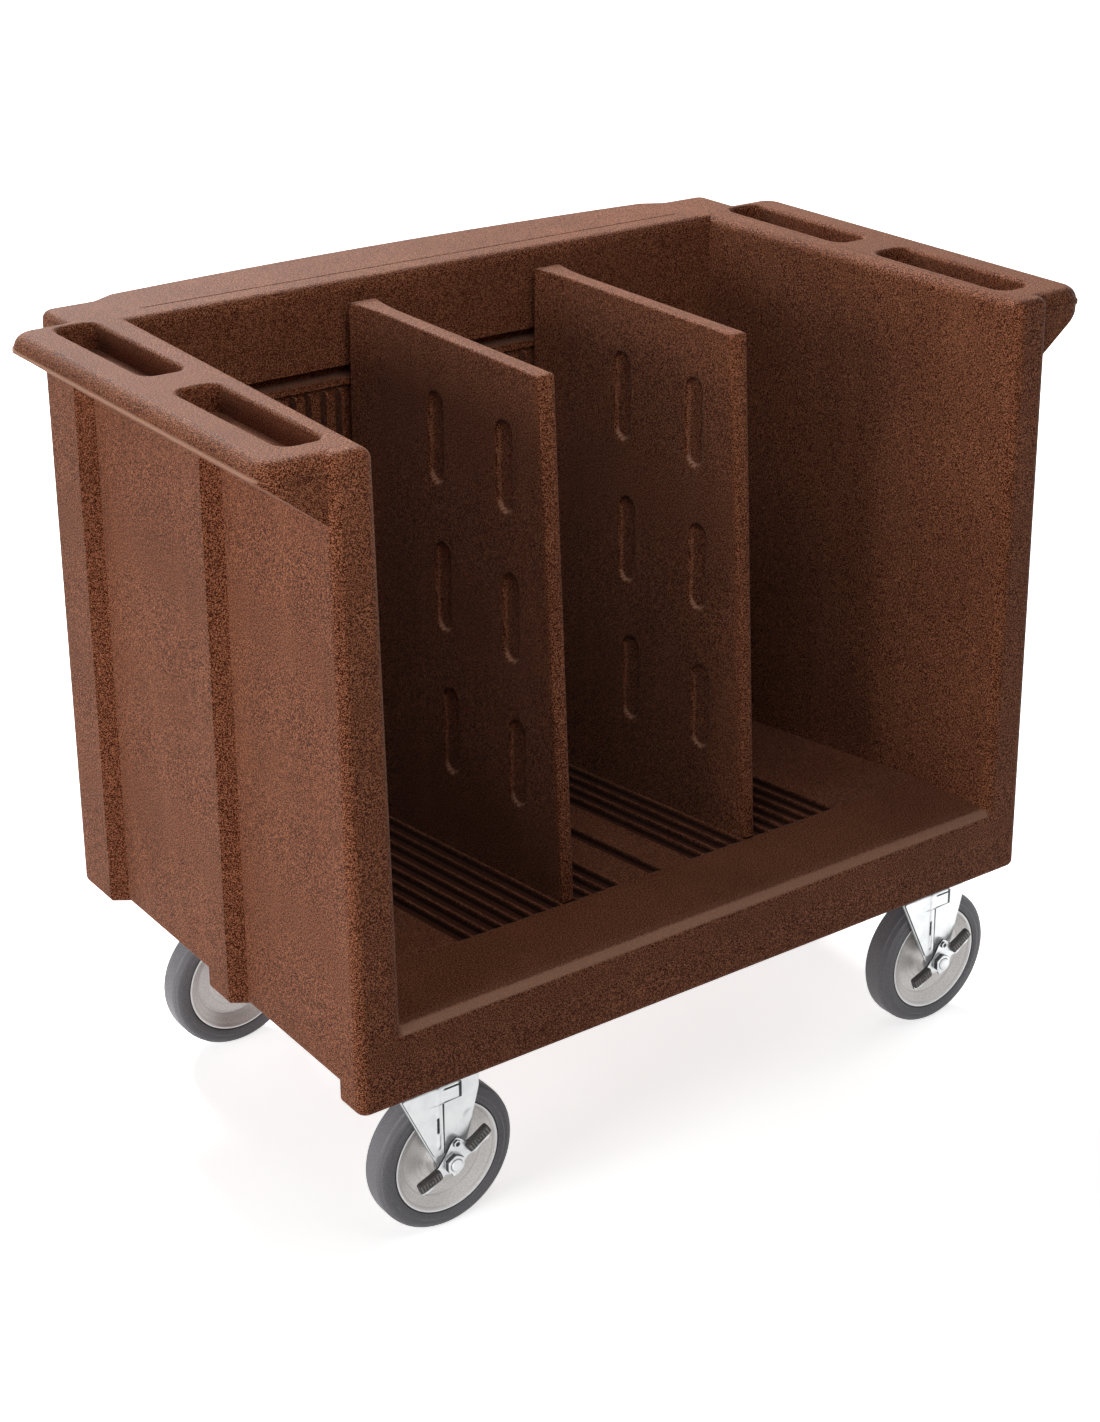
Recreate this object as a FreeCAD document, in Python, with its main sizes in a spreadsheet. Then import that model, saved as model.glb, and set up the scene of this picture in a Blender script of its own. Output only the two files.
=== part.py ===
import FreeCAD, Part
import os
from types import SimpleNamespace

import Sketcher
from FreeCAD import Vector

# A moulded polyethylene cart for plates and trays: one tub open to the front and
# the top, two lift-out dividers, and four swivel casters, the front two braked.
# The frame: +X to the right, the open front faces -Y, +Z up, origin on the floor
# under the middle of the cart. All sizes are millimetres.

SIZES = {
    # The whole cart
    "overallDepth": 590,         # front face to the crown of the bowed back
    "overallHeight": 816,        # floor to rim
    "undersideHeight": 188,      # floor to the tub's underside
    # The tub's outside
    "baseLength": 826,           # over the side ribs at the underside
    "sideDraft": 4.5,            # each side leans out by this up to the rim
    "railReach": 60.5,           # each rail stands out this far past the ribs at the rim
    "frontDraft": 11,            # the front leans back by this up to the rim
    "baseRound": 7,              # round of the edges at the underside
    "panelRecess": 16,           # side panels lie this far inside the ribs
    "ribSlant": 11,              # the ribs' flanks spread over this depth
    "frontRibWidth": 36,
    "middleRibStart": 243,       # from the front face
    "middleRibWidth": 38,
    "rearRibWidth": 68,          # up to the corner posts' rear face
    "bowStep": 14,               # step from the corner posts to the bowed back
    "bowRise": 14,               # crown of the bow over its two ends
    "bowInset": 78,              # from the side ribs to the end of the bowed back
    "bowStepRun": 25,            # length of the slanted step
    "cornerRound": 14,           # upright corners of the posts and of the bowed back
    "rimWidth": 20,              # level rim behind the back wall, up to the crease
    "creaseWidth": 2,
    "creaseDepth": 1.5,
    "backRound": 9,              # round of the back's top edge
    # The hollow
    "sideThickness": 47,         # of the side walls at the front lip
    "wallDraft": 9,              # each side wall opens by this up to the rim
    "wallToe": 16,               # each side wall closes in by this to the back
    "backThickness": 116,        # back wall to the crown of the bow
    "lipHeight": 266,            # floor to the top of the front lip
    "lipWidth": 101,             # front face to the tips of the grooves
    "deckFall": 41,              # the deck falls by this to the back wall
    "edgeRound": 11,             # round of the lip, the rim and the front corners
    # The grooved deck and the rack on the back wall
    "groovePitch": 17.8,
    "grooveCount": 11,           # grooves in each of the two fields
    "grooveSkip": 3,             # pitches from the middle to a field's first groove
    "ridgeWidth": 3.2,           # land between two grooves
    "grooveDepth": 7,
    "grooveRunOut": 14,          # a groove reaches its depth over this length
    "rackRibTop": 706,           # floor to the top of the rack's ribs
    "rackProud": 13,             # the ribs stand this far off the back wall
    "ledgeHeight": 7,
    "ledgeProud": 6,
    "ledgeGap": 3,               # between the ribs' tops and the ledge
    "ledgeMargin": 6,            # past the outermost rib
    "stripHeight": 24,           # faint strip across the back wall, above the channel
    "stripProud": 1.2,
    "channelHeight": 12,         # shallow channel above the ledge
    "channelSink": 4,
    "socketSink": 16,            # two deeper sockets in the channel
    "socketInner": 33,           # from the middle to a socket's near end
    "socketMargin": 8,           # channel's end to the socket's far end
    # The hand rails
    "railInset": 18,             # from the front face at the base to the rail's front end
    "railEndInset": 54,          # rail's rear end to the corner posts' rear face
    "railLip": 17,               # height of the rail's outer face and its bead
    "railFlare": 46,             # rise of the slanted underside, rib to lip
    "railRound": 14,
    "railBead": 1.5,             # the bead stands out this far
    "rimDrop": 0.2,              # the rim below the rails' tops
    "beadHeight": 3,
    "railNose": 24,              # plan radius of the rail's corners
    "gripWidth": 43,             # hand slots in the rails
    "gripMargin": 41,            # rail's outer face to the slot
    "gripFrontMargin": 38,       # rail's front end to the front slot
    "gripRearMargin": 20,        # rear slot to the rail's rear end
    "gripBridge": 52,            # between the two slots
    "gripDepth": 26,
    "gripRound": 13,
    "gripEdge": 5,
    # The dividers
    "leftDividerPitch": 6,       # grooves to the left of the middle
    "rightDividerPitch": 7,      # grooves to the right of the middle
    "dividerHeight": 797,        # floor to the top edge
    "dividerTopWidth": 19,
    "dividerFlareWidth": 33,     # the rear edge spreads to this
    "dividerFlareLength": 60,
    "dividerStart": 107,         # front face to the foot of the front edge
    "dividerLean": 34,           # the front edge leans back by this
    "dividerRound": 2,
    "seatGap": 0.3,              # clearance of a divider in its groove
    "pocketWidth": 28,           # blind hollows in both faces
    "pocketLength": 100,
    "pocketWeb": 8,              # left between two opposite hollows
    "pocketRise": 162,           # from one row to the next
    "pocketSpacing": 118,        # from one column to the other
    "pocketTopDrop": 60,         # top edge to the ends of the top row
    "pocketRearMargin": 145,     # rear edge to the rear column at the top
    "pocketShift": 9,            # each row lies this much further forward
    "pocketRows": 3,
    # The casters
    "casterEndInset": 95,        # side ribs to the kingpins
    "casterInset": 61,           # front face to the front kingpins
    "casterRearInset": 97,       # rear kingpins to the corner posts' rear face
    "wheelDiameter": 152.4,
    "wheelTrail": 26,            # the axle trails the kingpin by this
    "tyreWidth": 32,
    "tyreThickness": 18,
    "tyreShoulder": 7,
    "rimDepth": 6,
    "rimWidth": 30,
    "hubWidth": 34.4,
    "hubDiameter": 36,
    "webThickness": 7,
    "webDish": 4,                # the web thickens by this on each side at the hub
    "bearingDiameter": 22,
    "axleDiameter": 12,
    "axleOverhang": 2,           # thread past the nut
    "wrenchSize": 18,            # across the flats of the axle's head and nut
    "nutHeight": 6,
    "runningGap": 0.1,           # radial clearance of the turning joints
    "fitGap": 0.05,              # radial clearance of pieces seated in each other
    "sideGap": 0.3,              # flat clearance beside moving pieces
    "legThickness": 2.5,
    "legShoulder": 30,           # the leg's rear edge stands upright over this height
    "crownThickness": 4,
    "crownDiameter": 66,
    "crownNear": 37,             # kingpin to the fork's leading edge
    "crownFar": 60,              # kingpin to the fork's trailing edge
    "legBoss": 16,               # radius of the leg round the axle
    "legBend": 5,
    "kingpinDiameter": 12,
    "kingpinHead": 19,
    "kingpinHeadHeight": 6,
    "plateThickness": 4,
    "plateLength": 114,
    "plateWidth": 101,
    "plateRound": 8,
    "plateHoleLength": 92.1,     # hole spacing along the cart
    "plateHoleWidth": 66.7,      # hole spacing across the cart
    "raceHeight": 7.7,
    "raceDiameter": 62,
    "raceBore": 40,
    "boltDiameter": 8,
    "boltGrip": 20,              # thread inside the tub
    "boltHeadHeight": 4.6,
    "boltWrench": 13,
    "washerDiameter": 16,
    "washerThickness": 1.6,
    "insertDiameter": 12,
    "insertLength": 25,
    # The front brakes
    "linkThickness": 1.8,
    "linkInset": 1.5,            # the link lies this far inside the leg's leading edge
    "linkFoot": 11,              # axle to the link's lower end
    "linkRear": 7,               # the link's rear edge ahead of the axle
    "linkHeadLow": 67,           # axle to the underside of the link's wider head
    "linkHeadHeight": 17,
    "linkHeadRear": 13,          # the head's rear edge behind the axle
    "shoeLift": 3,               # travel of the shoe
    "shoeGap": 0.6,              # shoe to tyre with the brake on
    "shoeThickness": 3,
    "shoeLength": 20,
    "shoeReach": 10,             # past the wheel's middle plane
    "windowGap": 1,              # round the shoe in the leg's window
    "pedalThickness": 2.2,
    "pedalEye": 12,              # radius of the pedal round the axle
    "pedalArm": 10,              # width of an arm
    "pedalReach": 38,            # axle to the end of an arm
    "pedalRise": 24,             # the rear arm's end above the axle's level
    "pedalDrop": 14,             # the front arm's end below it
    "padLength": 23,
    "padMargin": 2,              # rubber past the arm's edges and end
    "padThickness": 7,
}


class Size:
    # A length together with the spreadsheet expression that gives it.
    def __init__(self, value, text):
        self.value = value
        self.text = text

    def combine(self, other, sign, result):
        return Size(result, f"({self.text} {sign} {other.text})")

    def __add__(self, other):
        other = asSize(other)
        return self.combine(other, "+", self.value + other.value)

    def __sub__(self, other):
        other = asSize(other)
        return self.combine(other, "-", self.value - other.value)

    def __mul__(self, other):
        other = asSize(other)
        return self.combine(other, "*", self.value * other.value)

    def __truediv__(self, other):
        other = asSize(other)
        return self.combine(other, "/", self.value / other.value)

    def __radd__(self, other):
        return asSize(other) + self

    def __rsub__(self, other):
        return asSize(other) - self

    def __rmul__(self, other):
        return asSize(other) * self

    def __neg__(self):
        return asSize(0) - self


def asSize(number):
    return number if isinstance(number, Size) else Size(float(number), repr(float(number)))


document = FreeCAD.newDocument("PlateCart")
sheet = document.addObject("Spreadsheet::Sheet", "Sizes")
for row, (alias, number) in enumerate(SIZES.items(), start=1):
    sheet.set(f"A{row}", alias)
    sheet.set(f"B{row}", str(number))
    sheet.setAlias(f"B{row}", alias)
document.recompute()
size = SimpleNamespace(**{alias: Size(float(sheet.get(alias)), f"Sizes.{alias}") for alias in SIZES})


# ---- helpers ----

def bind(thing, prop, length):
    # Gives a property its value through the spreadsheet.
    thing.setExpression(prop, asSize(length).text)


def moveTo(thing, x=0, y=0, z=0):
    for axis, length in (("x", x), ("y", y), ("z", z)):
        bind(thing, f"Placement.Base.{axis}", length)


def newBody(name):
    body = document.addObject("PartDesign::Body", name)
    body.Label = name
    return body


def sketchOn(body, role, name, offset=0):
    # A sketch on one of the body's own origin planes, moved along its normal.
    sketch = body.newObject("Sketcher::SketchObject", name)
    plane = next(item for item in body.Origin.OriginFeatures if item.Role == role)
    sketch.AttachmentSupport = [(plane, "")]
    sketch.MapMode = "FlatFace"
    bind(sketch, "AttachmentOffset.Base.z", offset)
    return sketch


def constrain(sketch, *parts, to):
    index = sketch.addConstraint(Sketcher.Constraint(*parts, asSize(to).value))
    sketch.setExpression(f"Constraints[{index}]", asSize(to).text)


def place(sketch, geometry, point, x, y):
    constrain(sketch, "DistanceX", -1, 1, geometry, point, to=x)
    constrain(sketch, "DistanceY", -1, 1, geometry, point, to=y)


def outline(sketch, corners):
    # A closed outline. A corner is (x, y), or (x, y, radius) where the stretch that
    # follows it is an arc: the outline turns left along it, or right if it is negative.
    first = sketch.GeometryCount
    count = len(corners)
    ends = []
    for index, corner in enumerate(corners):
        start = Vector(asSize(corner[0]).value, asSize(corner[1]).value)
        following = corners[(index + 1) % count]
        end = Vector(asSize(following[0]).value, asSize(following[1]).value)
        if len(corner) == 2:
            sketch.addGeometry(Part.LineSegment(start, end), False)
            ends.append((1, 2))
            continue
        radius = asSize(corner[2]).value
        leftTurn = radius > 0
        chord = end - start
        height = (radius ** 2 - chord.Length ** 2 / 4) ** 0.5
        left = Vector(-chord.y, chord.x).normalize()
        centre = (start + end) / 2 + left * (height if leftTurn else -height)
        circle = Part.Circle(centre, Vector(0, 0, 1), abs(radius))
        low, high = (start, end) if leftTurn else (end, start)
        sketch.addGeometry(Part.ArcOfCircle(circle, circle.parameter(low), circle.parameter(high)), False)
        ends.append((1, 2) if leftTurn else (2, 1))
    for index, corner in enumerate(corners):
        following = (index + 1) % count
        sketch.addConstraint(Sketcher.Constraint(
            "Coincident", first + index, ends[index][1], first + following, ends[following][0]))
        place(sketch, first + index, ends[index][0], corner[0], corner[1])
        if len(corner) == 3:
            radius = asSize(corner[2])
            constrain(sketch, "Radius", first + index, to=radius if radius.value > 0 else -radius)


def rectangle(sketch, left, right, low, high):
    outline(sketch, [(left, low), (right, low), (right, high), (left, high)])


def circle(sketch, x, y, radius):
    shape = Part.Circle(Vector(asSize(x).value, asSize(y).value), Vector(0, 0, 1), asSize(radius).value)
    index = sketch.addGeometry(shape, False)
    place(sketch, index, 3, x, y)
    constrain(sketch, "Radius", index, to=radius)


def obround(sketch, x, low, high, width):
    # A slot with round ends, upright in its sketch.
    radius = width / 2
    outline(sketch, [(x + radius, low + radius), (x + radius, high - radius, radius), (x, high, radius),
                     (x - radius, high - radius), (x - radius, low + radius, radius), (x, low, radius)])


def pad(body, sketch, name, length, reverse=False, midplane=False):
    feature = body.newObject("PartDesign::Pad", name)
    feature.Profile = sketch
    bind(feature, "Length", length)
    feature.Reversed = reverse
    if midplane:
        feature.SideType = "Symmetric"
    return feature


def pocket(body, sketch, name, length=None, reverse=False, midplane=False):
    feature = body.newObject("PartDesign::Pocket", name)
    feature.Profile = sketch
    if length is None:
        feature.Type = "ThroughAll"
    else:
        bind(feature, "Length", length)
    feature.Reversed = reverse
    if midplane:
        feature.SideType = "Symmetric"
    return feature


def loft(body, kind, name, sketches):
    feature = body.newObject(f"PartDesign::{kind}Loft", name)
    feature.Profile = sketches[0]
    feature.Sections = sketches[1:]
    feature.Ruled = True
    return feature


def turn(body, sketch, name):
    # A full revolution about the sketch's own horizontal axis.
    feature = body.newObject("PartDesign::Revolution", name)
    feature.Profile = sketch
    feature.ReferenceAxis = (sketch, ["H_Axis"])
    feature.Angle = 360
    return feature


def edgesOf(body, wanted):
    # Names of the edges whose middle point and direction the given test accepts.
    names = []
    for number, edge in enumerate(body.Shape.Edges, start=1):
        if edge.Degenerated:
            continue
        middle = edge.valueAt((edge.FirstParameter + edge.LastParameter) / 2)
        direction = edge.tangentAt((edge.FirstParameter + edge.LastParameter) / 2)
        if wanted(middle, direction):
            names.append(f"Edge{number}")
    return names


def roundEdges(body, name, radius, wanted):
    document.recompute()
    base = body.Tip
    names = edgesOf(body, wanted)
    feature = body.newObject("PartDesign::Fillet", name)
    feature.Base = (base, names)
    bind(feature, "Radius", radius)
    return feature


def lean(body, name, run, rise, height, inward, wanted):
    # Moulding draft: the flat faces that the test accepts turn about their own line at a
    # height, by a run over a rise. The test gets a face's middle and outward direction.
    document.recompute()
    base = body.Tip
    names = [f"Face{number}" for number, face in enumerate(body.Shape.Faces, start=1)
             if face.Surface.TypeId == "Part::GeomPlane" and wanted(face.CenterOfMass, face.normalAt(0, 0))]
    level = body.newObject("PartDesign::Plane", f"{name}_level")
    origin = next(item for item in body.Origin.OriginFeatures if item.Role == "XY_Plane")
    level.AttachmentSupport = [(origin, "")]
    level.MapMode = "FlatFace"
    bind(level, "AttachmentOffset.Base.z", height)
    feature = body.newObject("PartDesign::Draft", name)
    feature.Base = (base, names)
    feature.NeutralPlane = (level, [""])
    feature.setExpression("Angle", f"atan({(run / rise).text})")
    feature.Reversed = not inward
    return feature


def repeat(body, feature, name, spacing, count):
    # Copies of a feature along +X.
    pattern = body.newObject("PartDesign::LinearPattern", name)
    pattern.Originals = [feature]
    axis = next(item for item in body.Origin.OriginFeatures if item.Role == "X_Axis")
    pattern.Direction = (axis, [""])
    bind(pattern, "Length", spacing * (count - 1))
    bind(pattern, "Occurrences", count)
    body.Tip = pattern
    return pattern


# ---- shared places ----

frontFace = -size.overallDepth / 2
rimTop = size.overallHeight - size.rimDrop
bodyHeight = rimTop - size.undersideHeight
rimOutside = size.baseLength / 2 + size.sideDraft
postFace = size.overallDepth / 2 - size.bowRise - size.bowStep
mouthHalf = size.baseLength / 2 - size.sideThickness
hollowDepth = size.overallDepth - size.backThickness
backWall = frontFace + hollowDepth
grooveStart = frontFace + size.lipWidth
deckBack = size.lipHeight - size.deckFall
grooveWidth = size.groovePitch - size.ridgeWidth
rackFace = backWall - size.rackProud
ledgeBottom = size.rackRibTop + size.ledgeGap
channelBottom = ledgeBottom + size.ledgeHeight
railOutside = rimOutside + size.railReach
railFront = frontFace + size.railInset
railLength = postFace - size.railEndInset - railFront
gripOutside = railOutside - size.gripMargin
gripInside = gripOutside - size.gripWidth
gripLength = (railLength - size.gripFrontMargin - size.gripRearMargin - size.gripBridge) / 2
deckSlope = size.deckFall / (hollowDepth - size.lipWidth)
bowHalfLength = size.baseLength / 2 - size.bowInset
ledgeHalfLength = size.groovePitch * (size.grooveSkip + size.grooveCount - 0.5) + size.ledgeMargin


def deckHeight(y):
    # The deck's height at a place behind the lip.
    return size.lipHeight - (y - grooveStart) * deckSlope


# ---- the tub ----

def tubPlan(sketch):
    # The tub's outline in plan: three ribs on each side, corner posts and a bowed back.
    outside = size.baseLength / 2
    panel = outside - size.panelRecess
    ribEnd = frontFace + size.frontRibWidth
    middleStart = frontFace + size.middleRibStart
    middleEnd = middleStart + size.middleRibWidth
    rearStart = postFace - size.rearRibWidth
    bow = postFace + size.bowStep
    side = [
        (outside, frontFace),
        (outside, ribEnd),
        (panel, ribEnd + size.ribSlant),
        (panel, middleStart - size.ribSlant),
        (outside, middleStart),
        (outside, middleEnd),
        (panel, middleEnd + size.ribSlant),
        (panel, rearStart - size.ribSlant),
        (outside, rearStart),
        (outside, postFace),
        (bowHalfLength + size.bowStepRun, postFace),
    ]
    mirrored = [(-x, y) for x, y in reversed(side)]
    bowRadius = (bowHalfLength * bowHalfLength + size.bowRise * size.bowRise) / (size.bowRise * 2)
    bowEnds = [(bowHalfLength, bow, bowRadius), (-bowHalfLength, bow)]
    outline(sketch, side + bowEnds + mirrored)


def makeBlock(body):
    sketch = sketchOn(body, "XY_Plane", "plan", size.undersideHeight)
    tubPlan(sketch)
    pad(body, sketch, "block", bodyHeight)


def cutHollow(body):
    # The walls close in towards the back. A level lip leads to a deck that falls backwards.
    ahead = frontFace - size.frontRibWidth
    near = mouthHalf + size.wallToe * size.frontRibWidth / hollowDepth
    far = mouthHalf - size.wallToe
    sketch = sketchOn(body, "XY_Plane", "hollow_plan", rimTop)
    outline(sketch, [(-near, ahead), (near, ahead), (far, backWall), (-far, backWall)])
    pocket(body, sketch, "hollow", rimTop - deckBack)
    sketch = sketchOn(body, "YZ_Plane", "deck_side")
    low = size.undersideHeight + size.baseRound
    outline(sketch, [(frontFace, low), (postFace, low), (postFace, deckBack), (backWall, deckBack),
                     (grooveStart, size.lipHeight), (frontFace, size.lipHeight)])
    pad(body, sketch, "deck", (mouthHalf + size.edgeRound) * 2, midplane=True)


def draftFaces(body):
    # The walls open upwards inside, and the tub spreads at the sides and leans back in front.
    inside = mouthHalf.value + 1
    front = frontFace.value + 1
    lean(body, "wall_draft", size.wallDraft, rimTop - size.lipHeight, size.lipHeight, True,
         lambda p, n: abs(n.x) > 0.9 and abs(p.x) < inside)
    lean(body, "front_draft", size.frontDraft, bodyHeight, size.undersideHeight, True,
         lambda p, n: n.y < -0.9 and p.y < front)
    lean(body, "side_draft", size.sideDraft, bodyHeight, size.undersideHeight, False,
         lambda p, n: abs(n.x) > 0.5 and abs(p.x) > inside)


def roundTub(body):
    # Soft mould edges round the mouth, along the back, down the corners and round the underside.
    top = rimTop.value
    lip = size.lipHeight.value
    base = size.undersideHeight.value
    slope = (size.frontDraft / bodyHeight).value
    inside = mouthHalf.value
    outside = size.baseLength.value / 2
    post = postFace.value
    closeTo = size.edgeRound.value / 10

    def onFront(p):
        return abs(p.y - frontFace.value - (p.z - base) * slope) < closeTo

    def roundMouth(p, d):
        if onFront(p):
            onLip = abs(p.z - lip) < closeTo and abs(p.x) < inside
            onWall = p.z > lip and inside - closeTo < abs(p.x) < inside + size.wallDraft.value + closeTo
            return p.z > top - closeTo or onLip or onWall
        onRim = p.z > top - closeTo and p.y < backWall.value + closeTo
        return onRim and abs(p.x) < inside + size.wallDraft.value

    def roundBack(p, d):
        return p.z > top - closeTo and p.y > post - closeTo

    roundEdges(body, "mouth_edges", size.edgeRound, roundMouth)
    roundEdges(body, "front_corners", size.edgeRound,
               lambda p, d: onFront(p) and abs(d.z) > 0.9 and abs(p.x) > outside - closeTo)
    roundEdges(body, "rear_corners", size.cornerRound,
               lambda p, d: abs(d.z) > 0.9 and p.y > post - closeTo)
    roundEdges(body, "back_edges", size.backRound, roundBack)
    roundEdges(body, "base_edges", size.baseRound, lambda p, d: abs(p.z - base) < closeTo)


def cutCrease(body):
    # A fine crease parts the level rim from the bowed back.
    sketch = sketchOn(body, "XY_Plane", "crease_plan", rimTop)
    start = backWall + size.rimWidth
    rectangle(sketch, -bowHalfLength, bowHalfLength, start, start + size.creaseWidth)
    pocket(body, sketch, "crease", size.creaseDepth)


def makeRail(name, side):
    # A hand rail before it joins its wall: round outside, over a thin bead and a slanted underside.
    body = newBody(name)
    lipBottom = size.overallHeight - size.railLip
    beadInside = railOutside - size.railBead
    core = rimOutside - size.panelRecess * 2
    coreFoot = lipBottom - size.railFlare * (railOutside - core) / (railOutside - rimOutside)
    sketch = sketchOn(body, "XZ_Plane", f"{name}_section", -railFront)
    corners = [(core, coreFoot), (beadInside, lipBottom),
               (beadInside, size.overallHeight), (core, size.overallHeight)]
    outline(sketch, [(x * side, z) for x, z in corners])
    pad(body, sketch, f"{name}_pad", railLength, reverse=True)
    inner = core.value
    outer = beadInside.value
    top = size.overallHeight.value
    closeTo = size.railBead.value / 2
    roundEdges(body, f"{name}_noses", size.railNose,
               lambda p, d: abs(abs(p.x) - outer) < closeTo and abs(d.z) > 0.9)
    roundEdges(body, f"{name}_rounds", size.railRound,
               lambda p, d: p.z > top - closeTo and abs(p.x) > inner + closeTo)
    sketch = sketchOn(body, "XY_Plane", f"{name}_bead_plan", lipBottom)
    nose = size.railNose + size.railBead
    start = railFront - size.railBead
    end = railFront + railLength + size.railBead
    if side > 0:
        outline(sketch, [(core, start), (railOutside - nose, start, nose), (railOutside, start + nose),
                         (railOutside, end - nose, nose), (railOutside - nose, end), (core, end)])
    else:
        outline(sketch, [(-core, end), (nose - railOutside, end, nose), (-railOutside, end - nose),
                         (-railOutside, start + nose, nose), (nose - railOutside, start), (-core, start)])
    pad(body, sketch, f"{name}_bead", size.beadHeight)
    return body


def addRails(body):
    rails = [makeRail("rail_right", 1), makeRail("rail_left", -1)]
    document.recompute()
    joined = body.newObject("PartDesign::Boolean", "rails")
    joined.Type = "Fuse"
    joined.Group = rails
    body.Tip = joined


def cutGrips(body):
    # Two hand slots with soft edges are sunk into each rail.
    sketch = sketchOn(body, "XY_Plane", "grip_plan", size.overallHeight)
    firstGrip = railFront + size.gripFrontMargin
    for start in (firstGrip, firstGrip + gripLength + size.gripBridge):
        rectangle(sketch, gripInside, gripOutside, start, start + gripLength)
        rectangle(sketch, -gripOutside, -gripInside, start, start + gripLength)
    pocket(body, sketch, "grips", size.gripDepth)
    top = size.overallHeight.value
    low, high = gripInside.value, gripOutside.value
    closeTo = size.edgeRound.value / 10
    roundEdges(body, "grip_corners", size.gripRound,
               lambda p, d: abs(d.z) > 0.9 and p.z > top - size.gripDepth.value
               and min(abs(abs(p.x) - x) for x in (low, high)) < closeTo)
    roundEdges(body, "grip_edges", size.gripEdge,
               lambda p, d: p.z > top - closeTo and low - closeTo < abs(p.x) < high + closeTo
               and railFront.value + closeTo < p.y < (railFront + railLength).value - closeTo)


def cutGrooves(body):
    # The grooves run from the lip to the back wall, in two fields and one in the middle.
    full = grooveStart + size.grooveRunOut
    for name, first, count in (("middle", asSize(0), 1),
                               ("right", size.grooveSkip, size.grooveCount),
                               ("left", 1 - size.grooveSkip - size.grooveCount, size.grooveCount)):
        side = size.groovePitch * first - grooveWidth / 2
        sketch = sketchOn(body, "YZ_Plane", f"groove_profile_{name}", side)
        outline(sketch, [(grooveStart, size.lipHeight),
                         (full, deckHeight(full) - size.grooveDepth),
                         (backWall, deckBack - size.grooveDepth),
                         (backWall, size.lipHeight)])
        groove = pocket(body, sketch, f"groove_{name}", grooveWidth, reverse=True)
        if count != 1:
            repeat(body, groove, f"grooves_{name}", size.groovePitch, count)


def addRack(body):
    # Upright ribs on the back wall carry the grooves' ridges on, under a ledge and a channel.
    low = deckBack - size.grooveDepth
    for name, first in (("right", size.grooveSkip), ("left", 1 - size.grooveSkip - size.grooveCount)):
        middle = size.groovePitch * (first - 0.5)
        sketch = sketchOn(body, "YZ_Plane", f"rib_profile_{name}", middle - size.ridgeWidth / 2)
        outline(sketch, [(rackFace, low),
                         (backWall + size.ridgeWidth, low),
                         (backWall + size.ridgeWidth, size.rackRibTop),
                         (rackFace + size.ridgeWidth, size.rackRibTop),
                         (rackFace, size.rackRibTop - size.ridgeWidth)])
        rib = pad(body, sketch, f"rib_{name}", size.ridgeWidth)
        repeat(body, rib, f"ribs_{name}", size.groovePitch, size.grooveCount + 1)
    sketch = sketchOn(body, "XZ_Plane", "ledge_front", -(backWall - size.ledgeProud))
    rectangle(sketch, -ledgeHalfLength, ledgeHalfLength, ledgeBottom, channelBottom)
    pad(body, sketch, "ledge", size.ledgeProud * 2, reverse=True)
    sketch = sketchOn(body, "XZ_Plane", "strip_front", -(backWall - size.stripProud))
    top = channelBottom + size.channelHeight
    rectangle(sketch, -mouthHalf, mouthHalf, top, top + size.stripHeight)
    pad(body, sketch, "strip", size.ledgeProud, reverse=True)
    sketch = sketchOn(body, "XZ_Plane", "channel_front", -backWall)
    rectangle(sketch, -ledgeHalfLength, ledgeHalfLength,
              channelBottom, channelBottom + size.channelHeight)
    pocket(body, sketch, "channel", size.channelSink)
    sketch = sketchOn(body, "XZ_Plane", "socket_fronts", -backWall)
    half = size.channelHeight / 2
    near = size.socketInner + half
    far = ledgeHalfLength - size.socketMargin - half
    middle = channelBottom + half
    top = middle + half
    for left, right in ((near, far), (-far, -near)):
        outline(sketch, [(left, channelBottom), (right, channelBottom, half), (right + half, middle, half),
                         (right, top), (left, top, half), (left - half, middle, half)])
    pocket(body, sketch, "sockets", size.socketSink)


def casterPlaces():
    # Name, place along the cart, place across it, and whether it has a brake.
    side = size.baseLength / 2 - size.casterEndInset
    front = frontFace + size.casterInset
    rear = postFace - size.casterRearInset
    return [("front_left", -side, front, True),
            ("front_right", side, front, True),
            ("rear_left", -side, rear, False),
            ("rear_right", side, rear, False)]


def boltPlaces():
    return [(x + size.plateHoleLength / 2 * i, y + size.plateHoleWidth / 2 * j)
            for _, x, y, _ in casterPlaces() for i in (-1, 1) for j in (-1, 1)]


def drillInserts(body):
    # Blind holes in the underside hold the threaded inserts.
    sketch = sketchOn(body, "XY_Plane", "insert_plan", size.undersideHeight)
    for x, y in boltPlaces():
        circle(sketch, x, y, size.insertDiameter / 2 + size.fitGap)
    pocket(body, sketch, "insert_holes", size.insertLength, reverse=True)


def makeTub():
    body = newBody("cart_body")
    makeBlock(body)
    cutHollow(body)
    draftFaces(body)
    roundTub(body)
    cutCrease(body)
    addRails(body)
    cutGrips(body)
    cutGrooves(body)
    addRack(body)
    drillInserts(body)
    return body


# ---- the dividers ----

def dividerPlan(sketch, width, front):
    # Straight faces that spread in a hollow curve towards the rear edge.
    back = rackFace - size.seatGap
    half = width / 2
    spread = size.dividerFlareWidth / 2
    step = spread - half
    radius = (step * step + size.dividerFlareLength * size.dividerFlareLength) / (step * 2)
    bend = back - size.dividerFlareLength
    outline(sketch, [(-half, front), (half, front), (half, bend, -radius),
                     (spread, back), (-spread, back, -radius), (-half, bend)])


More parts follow.
